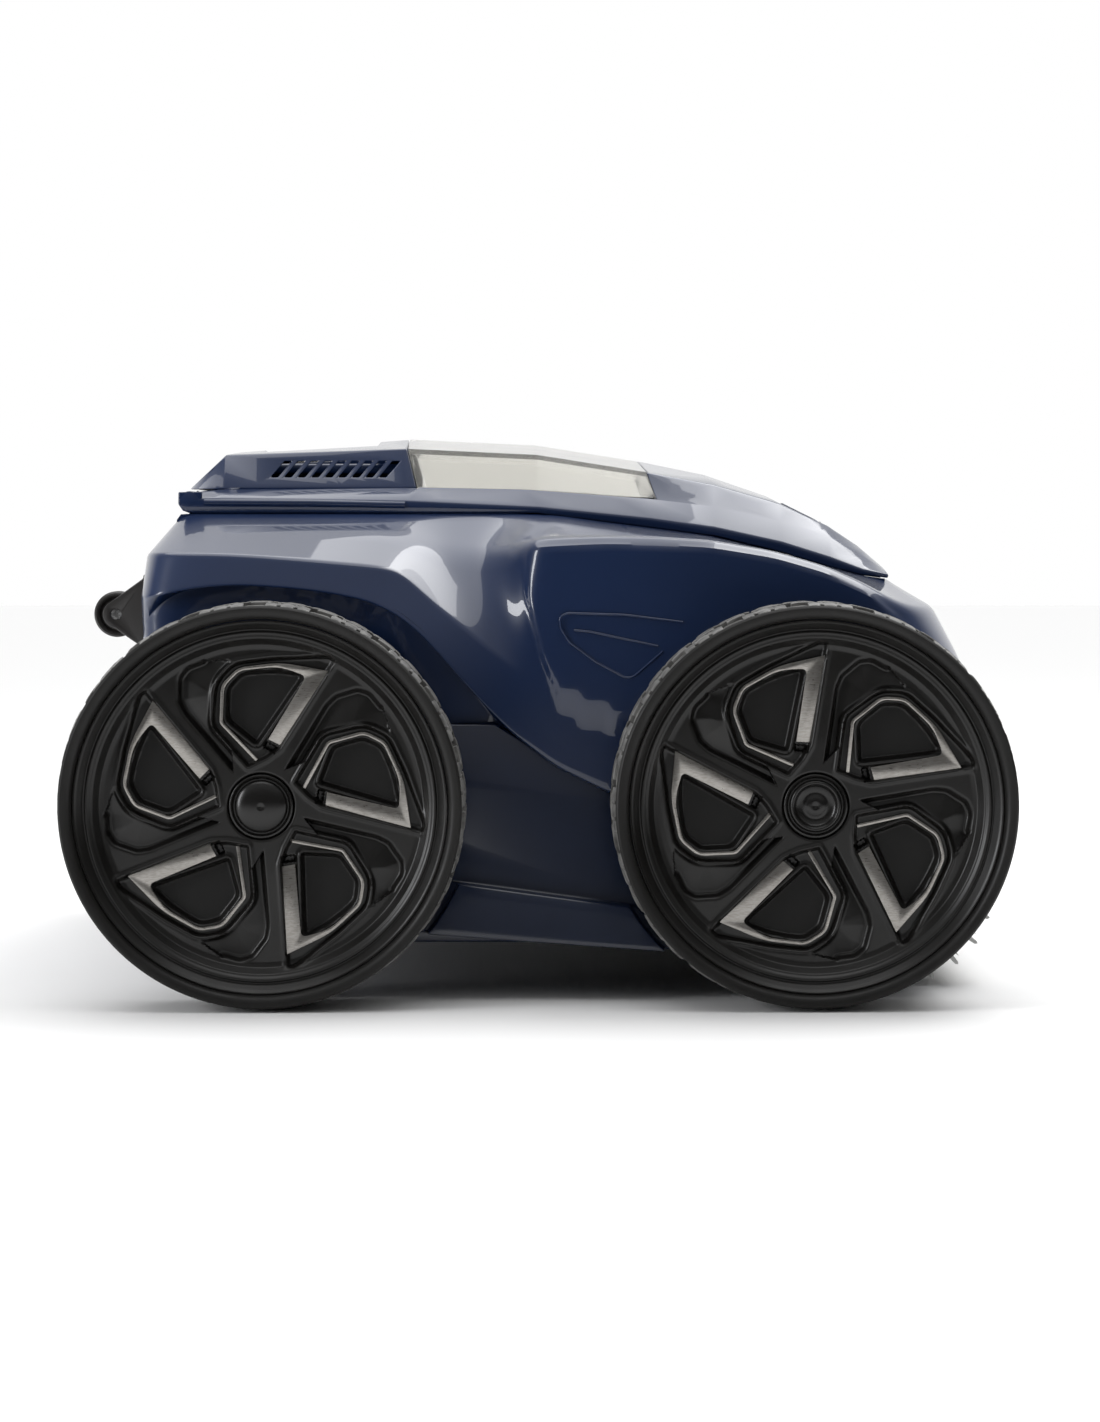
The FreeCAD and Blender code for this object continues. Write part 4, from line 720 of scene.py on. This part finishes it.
disc = make_mesh("wheel_disc", *disc_mesh(), [satin_black], 60)
# The deep flat floors of the pockets take the second material, which carries the painted shade.
disc.materials.append(floor_black_painted_shade.material)
for face in disc.polygons:
    if FACE_DEPTH + 5 < face.center.y / MM < FACE_DEPTH + 9 and face.normal.y < -0.95:
        face.material_index = 1
tread = ring_copies("tread", held(tread_period(), "tread_item"), TREAD_PERIODS, lug_rubber)
wheel_parts = {"wheel": disc, "wheel_trim": trim_mesh(), "tyre": tyre_mesh(), "tread": tread}
caps = {"front": cap_mesh(True), "rear": cap_mesh(False)}
WHEEL_SLOTS = {"wheel": "wheel_black", "wheel_trim": "trim_silver", "tyre": "tyre_grey",
               "tread": "tyre_grey", "hub_cap": "cap_black"}
for end in ENDS:
    for side_name, side in SIDES.items():
        corner = f"{side_name}_{end}"
        for kind, mesh in {**wheel_parts, "hub_cap": caps[end]}.items():
            mesh = mesh.copy()
            mesh.transform(wheel_place(end, side))
            nodes = [f"{corner}_{kind}"] if kind != "tread" else []
            add_piece(f"{corner}_{kind}_look", mesh, f"{corner}_wheel", *nodes,
                      slot=WHEEL_SLOTS[kind])
finish_slots({"wheel_black": satin_black, "trim_silver": silver, "tyre_grey": rubber,
              "cap_black": cap_black})

# ------------------------------------------------------------------ brushes
# A grey tube on each side of the middle carries a pale moulded sleeve with rings of soft fins,
# straight and leaf-shaped by turns, that sweep the floor ahead of the suction slot.
brush_pale = Look("brush_pale", (0.60, 0.60, 0.58), 0.5, Coat_Weight=0.2, Coat_Roughness=0.3)
brush_pale.tint(brush_pale.noise(50, 3).between(0.3, 0.7), (0.54, 0.54, 0.52),
                (0.66, 0.66, 0.64))
core_low, core_high = frame_box("right_brush_core")
blade_low, blade_high = frame_box("right_brush_blades")
BRUSH_AT = Vector(((core_low[0] + core_high[0]) / 2, 0, (core_low[2] + core_high[2]) / 2))
FIN_ROWS, FINS_ROUND = 9, 21
ROW_GAP = 0.8                    # at each end of a row
ROW_TURN = 0.382                 # of the step between fins, from one row to the next
FIN_TIP = 45.8
FIN_SHAPES = {
    "straight": [(14.5, -1.7), (30, -1.3), (FIN_TIP - 1, -0.8), (FIN_TIP, 0.2), (FIN_TIP - 1, 0.9),
                 (30, 1.5), (14.5, 2.0)],
    "leaf": [(14.5, -1.4), (26, -0.6), (31, -2.6), (38, -3.2), (FIN_TIP - 0.5, -1.9),
             (39, -0.4), (33, 1.2), (27, 1.6), (14.5, 1.6)]}


def fin(kind, angle, low, high):
    turn = math.radians(angle)
    flat = [(r * math.cos(turn) - t * math.sin(turn), r * math.sin(turn) + t * math.cos(turn))
            for r, t in FIN_SHAPES[kind]]
    return prism(flat, low, high)


def fins_mesh(low, high):
    width = (high - low) / FIN_ROWS
    rows = []
    for row in range(FIN_ROWS):
        start = low + row * width + ROW_GAP
        kind = ("straight", "leaf")[row % 2]
        rows.append(fin(kind, 360 / FINS_ROUND * (row * ROW_TURN % 1), start,
                        start + width - 2 * ROW_GAP))
    item = held(make_mesh("fin_row", *joined(rows), [brush_pale], 40), "fin_item")
    return ring_copies("brush_fins", item, FINS_ROUND, brush_pale)


for side_name, side in SIDES.items():
    low, high = sorted((side * abs(blade_low[1]), side * abs(blade_high[1])))
    mesh = fins_mesh(low, high)
    profile = [(16.0, low), (17.6, low + 0.6), (17.6, high - 0.6), (16.0, high), (15.9, high),
               (15.9, low)]
    sleeve = make_mesh("sleeve", *turned_mesh(profile, 64), [brush_pale])
    work = bmesh.new()
    work.from_mesh(mesh)
    work.from_mesh(sleeve)
    work.to_mesh(mesh)
    work.free()
    mesh.transform(Matrix.Translation(BRUSH_AT * MM))
    mesh.materials.clear()
    mesh.materials.append(brush_pale.material)
    finish_mesh(mesh, 40)
    add_piece(f"{side_name}_brush_fins", mesh, f"{side_name}_brush", f"{side_name}_brush_blades",
              slot="brush_pale")
finish_slots({"brush_pale": brush_pale})

# ------------------------------------------------------------------ fairing
# The glossy navy moulding that clips over the hull: one skin that runs round the body from the
# lid's seam down to the parting line, with a raised panel beside each front wheel. Each station
# across it gives the skin's six lines, as (X, distance out, Z), from the tail to the nose.
navy = Look("navy_gloss", (0.008, 0.021, 0.068), 0.32, Coat_Weight=0.8, Coat_Roughness=0.03,
            Specular_IOR_Level=0.3)
navy.tint(navy.noise(9, 2).between(0.3, 0.7), (0.007, 0.019, 0.062), (0.009, 0.023, 0.074))
navy.bump(navy.noise(1800, 1), 0.004)
FAIRING = [
    [(-172.5, 0, 226.2), (-180, 0, 216), (-187, 0, 205),
     (-188.6, 0, 186), (-187, 0, 170), (-189, 0, 128)],
    [(-172.5, 96, 226.2), (-180, 110, 216), (-187, 128, 205.5),
     (-188.6, 140, 186), (-187.4, 140, 170), (-189, 140, 128)],
    [(-171, 112.6, 226.2), (-177.5, 134, 217), (-183.5, 166, 207.5),
     (-186, 175, 187), (-186, 170, 170), (-187, 165, 128)],
    [(-166, 112.6, 226.2), (-172, 144, 217.2), (-177, 176, 207.5),
     (-180.5, 183, 186.5), (-180, 174, 186), (-181, 173, 128)],
    [(-158, 112.6, 226.2), (-162, 144, 217.4), (-166, 178, 207.4),
     (-170, 183.4, 190), (-169.5, 174, 191), (-170, 174, 128)],
    [(-140, 112.6, 226.2), (-141, 144, 217.6), (-143, 178.4, 207.2),
     (-147, 183.6, 193), (-147, 170, 194), (-147, 170, 128)],
    [(-116, 112.6, 226.2), (-117, 144, 217.6), (-119, 178.4, 205.4),
     (-124, 183.6, 192), (-124, 170, 193), (-124, 170, 128)],
    [(-94, 112.6, 226.2), (-94, 144, 217.2), (-96, 178, 203.4),
     (-100.6, 183.6, 189.6), (-100.6, 170, 190.6), (-100.6, 170, 128)],
    [(-76, 112.6, 226.2), (-75, 144, 216.8), (-76, 177, 201.6),
     (-79, 183.6, 185.2), (-78, 170, 186), (-78, 170, 128)],
    [(-62, 112.6, 226.2), (-60, 143, 214), (-64.5, 174.5, 199.4),
     (-66, 183.6, 179), (-65, 174, 180), (-66, 174, 128)],
    [(-40, 112.6, 226.2), (-41, 146, 206.5), (-46, 176.5, 182),
     (-54, 183.6, 169), (-53, 174, 170), (-54, 174, 128)],
    [(-22, 112.6, 226.2), (-27, 148, 206), (-32, 178.6, 170.6),
     (-38, 183.6, 151), (-37, 174, 152), (-38, 174, 128)],
    [(-8, 112.6, 226.2), (-13.5, 163, 209), (-17.5, 180.6, 159),
     (-24, 183.6, 135.4), (-23, 174, 134), (-24, 174, 128)],
    [(10, 112.6, 225.4), (-2, 178.6, 213.6), (-5, 183, 149),
     (-12, 183.6, 123.6), (-11, 176, 122), (-12, 174, 121)],
    [(30, 112.6, 222.6), (30, 181.6, 215), (9, 184, 138.6),
     (9, 183.6, 108), (9, 177, 106), (9, 175, 104)],
    [(54, 112.6, 219.6), (54, 182, 214.8), (44, 184, 138),
     (38, 183.6, 94), (38, 177, 92.6), (38, 175, 92)],
    [(84, 112.6, 215.6), (80.6, 182, 213.4), (78, 184, 150),
     (74, 183.6, 113.6), (74, 178, 112.8), (74, 176, 112.6)],
    [(114, 112.6, 208.3), (110, 182, 208.6), (110, 184, 150),
     (110, 183.6, 113.6), (110, 178, 112.8), (110, 176, 112.6)],
    [(138, 112.6, 201.4), (134, 182, 201.6), (136, 184, 150),
     (140, 183.6, 113.6), (140, 178, 112.8), (140, 176, 112.6)],
    [(157, 112.6, 196.4), (154, 182, 192.4), (160, 184, 150),
     (168, 183.6, 113.6), (168, 178, 112.8), (168, 176, 112.6)],
    [(165, 112, 195), (169, 178, 183), (181, 181, 150),
     (190, 181, 113.6), (190, 176, 112.8), (190, 174, 112.6)],
    [(170.5, 104, 194.4), (182, 163, 181), (198, 168, 150),
     (204, 172, 113.6), (202, 168, 112.8), (200, 166, 112.6)],
    [(171.5, 84, 194.2), (190, 132, 181.6), (206, 140, 150),
     (210, 146, 113.6), (208, 144, 112.8), (206, 143, 112.6)],
    [(171.5, 0, 194.2), (193, 0, 182), (209, 0, 150),
     (211.5, 0, 113.6), (209.5, 0, 112.8), (207, 0, 112.6)]]
FIRST_FINE, LAST_FINE = 7, 19    # the stations between which the skin is made finely
FINE_STEP, COARSE_STEP = 1.7, 4.0
EASE_STEPS = 2.8                 # how softly the skin turns from station to station
FAIRING_WALL = 2.2
FAIRING_ROWS = [9, 26, 12, 3, 8]
# How far each of the four corners across the skin is rounded, at each station.
CORNER_REACH = [[9.0] * 13 + [5.0] * 11, [1.8] * 14 + [14.0] * 10, [1.3] * 24, [0.8] * 24]
PANEL = [(-8.4, 212.4), (34, 213.6), (80.6, 212.0), (111.5, 206.8), (134.6, 199.8), (154.6, 190.6),
         (170, 178), (176, 118), (60, 118), (34, 128), (9, 138.8), (1, 158), (-6, 186)]
PANEL_ROUND = [4, 20, 20, 20, 20, 20, 10, 4, 10, 10, 6, 20, 20]
PANEL_RISE = 1.9
DECK_BOX = ((-174, -114, 100), (168, 114, 231))


def whole_ring(stations):
    """The right-hand stations from rear to front, then the left-hand ones back again."""
    right = np.array([[(x, -y, z) for x, y, z in line] for line in stations], float)
    left = right[::-1] * np.array([1, -1, 1])
    return np.concatenate([right, left[1:-1]])


def steps_between(ring, spacing):
    """How many steps of about the spacing given fit each interval of the ring."""
    lengths = [np.linalg.norm(ring[(i + 1) % len(ring)] - ring[i], axis=1).mean()
               for i in range(len(ring))]
    return [max(2, round(length / step)) for length, step in zip(lengths, spacing)]


def resampled(ring, counts):
    """Points along each line of the ring, with this many steps in each interval."""
    pieces = []
    for i, steps in enumerate(counts):
        t = (np.arange(steps) / steps).reshape(-1, *[1] * (ring.ndim - 1))
        pieces.append(ring[i] * (1 - t) + ring[(i + 1) % len(ring)] * t)
    return np.concatenate(pieces)


def eased(lines, width):
    """The ring's lines with their corners eased over this many steps each way."""
    reach = math.ceil(3 * width)
    weights = np.exp(-0.5 * (np.arange(-reach, reach + 1) / width) ** 2)
    weights /= weights.sum()
    result = np.zeros_like(lines)
    for weight, shift in zip(weights, range(-reach, reach + 1)):
        result += weight * np.roll(lines, shift, 0)
    return result


def section_points(corners, reaches, rows):
    """One section as points: straight runs between corners, each turned over its reach."""
    starts, ends = [corners[0]], []
    for i, reach in enumerate(reaches, start=1):
        before, after = corners[i - 1] - corners[i], corners[i + 1] - corners[i]
        room = 0.42 * min(np.linalg.norm(before), np.linalg.norm(after))
        reach = min(reach, room)
        ends.append(corners[i] + before / np.linalg.norm(before) * reach)
        starts.append(corners[i] + after / np.linalg.norm(after) * reach)
    ends.append(corners[-1])
    points = []
    for i, (start, end) in enumerate(zip(starts, ends)):
        points += [start + (end - start) * k / rows[i] for k in range(rows[i] + 1)]
        if i < len(reaches):
            points += [(1 - t) ** 2 * end + 2 * t * (1 - t) * corners[i + 1] + t * t * starts[i + 1]
                       for t in (0.2, 0.4, 0.6, 0.8)]
    return points


def ring_skin(sections):
    """Vertices and faces of a closed ring of open sections."""
    across = len(sections[0])
    vertices = [tuple(p) for section in sections for p in section]
    faces = []
    for i in range(len(sections)):
        j = (i + 1) % len(sections)
        for k in range(across - 1):
            faces.append((i * across + k, i * across + k + 1, j * across + k + 1, j * across + k))
    return vertices, faces


def thickened(mesh, wall, outward_y):
    """The skin with a wall behind it, once its faces are known to look outwards."""
    work = bmesh.new()
    work.from_mesh(mesh)
    bmesh.ops.remove_doubles(work, verts=work.verts, dist=1e-6)
    bmesh.ops.recalc_face_normals(work, faces=work.faces)
    side = [f for f in work.faces if f.calc_center_median().y < outward_y * MM]
    if sum(f.normal.y for f in side) > 0:
        bmesh.ops.reverse_faces(work, faces=work.faces)
    work.to_mesh(mesh)
    work.free()
    holder = held(mesh)
    solid = holder.modifiers.new("wall", "SOLIDIFY")
    solid.thickness = wall * MM
    solid.offset = -1
    return applied(holder)


def fairing_mesh():
    ring = whole_ring(FAIRING)
    count = len(FAIRING)
    order = list(range(count)) + list(range(count - 2, 0, -1))
    fine = [FIRST_FINE <= min(a, b) and max(a, b) <= LAST_FINE
            for a, b in zip(order, order[1:] + order[:1])]
    counts = steps_between(ring, [FINE_STEP if f else COARSE_STEP for f in fine])
    lines = eased(resampled(ring, counts), EASE_STEPS)
    reaches = resampled(np.array([[reach[s] for reach in CORNER_REACH] for s in order], float),
                        counts)
    points = np.array([section_points(c, r, FAIRING_ROWS) for c, r in zip(lines, reaches)])
    flat = points.reshape(-1, 3)
    side = smooth_step(np.abs(flat[:, 1]), 172, 179)
    panel = signed(flat[:, [0, 2]], PANEL, PANEL_ROUND)
    flat[:, 1] += np.sign(flat[:, 1]) * PANEL_RISE * smooth_step(-panel, 0, 2.4) * side
    vertices, faces = ring_skin(flat.reshape(points.shape).tolist())
    mesh = thickened(make_mesh("fairing_skin", vertices, faces, [navy], 28), FAIRING_WALL, -150)
    smooth_shaded(mesh, 28)
    return mesh


add_piece("fairing_skin", fairing_mesh(), "chassis", "upper_body", slot="body_blue")
add_piece("fairing_deck", softened("upper_body", 0, navy, DECK_BOX), "chassis", slot="body_blue")
finish_slots({"body_blue": navy})

# ------------------------------------------------------------------ raised lines on the fairing
# The panel on each side carries the low raised outline of a scoop, with one more line across
# it. They are moulded with the fairing, in the same glossy navy plastic.
PANEL_FACE = 185.7
SCOOP_LINES = [[(67.3, 175.6), (40, 179.0), (14, 179.8), (10.2, 178.4), (10.4, 173), (14.4, 166.3),
                (27, 157), (39.9, 150.1), (43, 149.6), (45.5, 151.0), (58, 162)],
               [(16.7, 171.9), (24, 171.2), (55.7, 164.4)]]


def ridge(points, half, rise, face):
    """A low rounded ridge along a line of (X, Z), standing on the face at Y = -face."""
    line = np.array(rounded(points, 5, 5, closed=False))
    along = np.gradient(line, axis=0)
    along /= np.linalg.norm(along, axis=1)[:, None]
    across = np.stack([-along[:, 1], along[:, 0]], 1)
    section = [(-half, -0.6), (-half, 0.0), (-half * 0.5, rise * 0.8), (0, rise),
               (half * 0.5, rise * 0.8), (half, 0.0), (half, -0.6)]
    vertices = [(float(p[0] + n[0] * w), -(face + h), float(p[1] + n[1] * w))
                for p, n in zip(line, across) for w, h in section]
    size = len(section)
    faces = [tuple(range(size)), tuple(reversed(range((len(line) - 1) * size, len(line) * size)))]
    for k in range(len(line) - 1):
        for j in range(size):
            n = (j + 1) % size
            faces.append((k * size + j, (k + 1) * size + j, (k + 1) * size + n, k * size + n))
    return vertices, faces


def ridge_mesh(name, ridges, side):
    """Ridges on one side of the cleaner, as one mesh."""
    vertices, faces = joined(ridges)
    return make_mesh(name, [(x, -side * y, z) for x, y, z in vertices], faces, [navy], 50)


for side_name, side in SIDES.items():
    ridges = [ridge(line, 0.55, 0.32, PANEL_FACE) for line in SCOOP_LINES]
    add_piece(f"{side_name}_scoop_lines", ridge_mesh("scoop_lines", ridges, side), "chassis",
              slot="body_blue")

# ------------------------------------------------------------------ rear hood and handle
# The hood over the pump is a separate glossy navy moulding with louvres on each side, fixed to
# the fairing. The handle crosses the opening in its top, above a web that stiffens the hood.
HOOD_WEB = [(-160, 239), (-152, 251), (-76, 255), (-74, 239)]
for node, width in (("rear_hood", 0.7), ("carry_handle", 1.2)):
    add_piece(node + "_soft", softened(node, width, navy), "chassis", node, slot="body_blue")
web = make_mesh("hood_web", *prism(HOOD_WEB, -1, 1), [navy], 40)
add_piece("hood_web", bevelled(web, 0.3), "chassis", slot="body_blue")

# ------------------------------------------------------------------ rear rollers
# Two small black plastic rollers, each on a pin in a bracket, keep the back of the body off a
# wall. A roller is a moulded ring with a sunk web and a boss round its pin.
ROLLER_BORE = 2.6


def roller_profile(radius, a, b):
    """A roller's section as (radius, Y) between its two faces."""
    half = [(ROLLER_BORE, 0.6), (4.6, 0.6), (5.2, 1.4), (7.6, 2.2), (8.6, 0.5), (9.2, 0),
            (radius - 0.9, 0), (radius, 0.9), (radius, 3.6), (radius - 0.7, 4.4)]
    return [(r, a + y) for r, y in half] + [(r, b - y) for r, y in reversed(half)]


for side_name, side in SIDES.items():
    low, high = frame_box(f"{side_name}_rear_roller")
    profile = roller_profile((high[2] - low[2]) / 2, low[1], high[1])
    mesh = make_mesh("roller", *turned_mesh(profile, 72), [plastic_black], 40)
    middle = Vector(((low[0] + high[0]) / 2, 0, (low[2] + high[2]) / 2))
    mesh.transform(Matrix.Translation(middle * MM))
    add_piece(f"{side_name}_rear_roller_look", mesh, f"{side_name}_roller",
              f"{side_name}_rear_roller", slot="roller_black")
    bracket = f"{side_name}_roller_bracket"
    add_piece(bracket + "_soft", softened(bracket, 0.6, plastic_black), "chassis", bracket,
              slot="roller_black")
finish_slots({"roller_black": plastic_black})

# ------------------------------------------------------------------ lid
# The lid is a glossy navy frame hinged at the rear, with a clear window set into it. The band at
# its foot carries a raised strip, and ends squarely over the hinge.
window = Look("window_clear", (0.93, 0.92, 0.88), 0.06, Transmission_Weight=0.9, IOR=1.35)
window.roughness(0.04 + 0.06 * window.noise(30, 3).between(0.3, 0.7))
BAND_FACE = 111.9
BAND_STRIP = [(-161, 231.6), (-110, 231.3), (-64, 230.4)]
BAND_END = [(-173.5, 230.8), (-173.4, 236.7), (-162, 236.9), (-162, 227.3), (-171.2, 227.5)]
add_piece("lid_frame_soft", softened("lid_frame", 0.9, navy), "lid", "lid_frame",
          slot="body_blue")
finish_slots({"window_clear": window})
for side_name, side in SIDES.items():
    strip = ridge_mesh("band_strip", [ridge(BAND_STRIP, 1.7, 0.9, BAND_FACE)], side)
    add_piece(f"{side_name}_band_strip", strip, "lid", slot="body_blue")
    block = prism(BAND_END, -side * (BAND_FACE - 4), -side * BAND_FACE)
    add_piece(f"{side_name}_band_end", bevelled(make_mesh("band_end", *block, [navy], 40), 0.5),
              "lid", slot="body_blue")

# ------------------------------------------------------------------ latch button
# A glossy navy button sits in a slot in the lid's nose. It is pressed by hand against a small
# steel spring behind it.
add_piece("latch_button_soft", softened("latch_button", 0.8, navy), "latch", "latch_button",
          slot="body_blue")
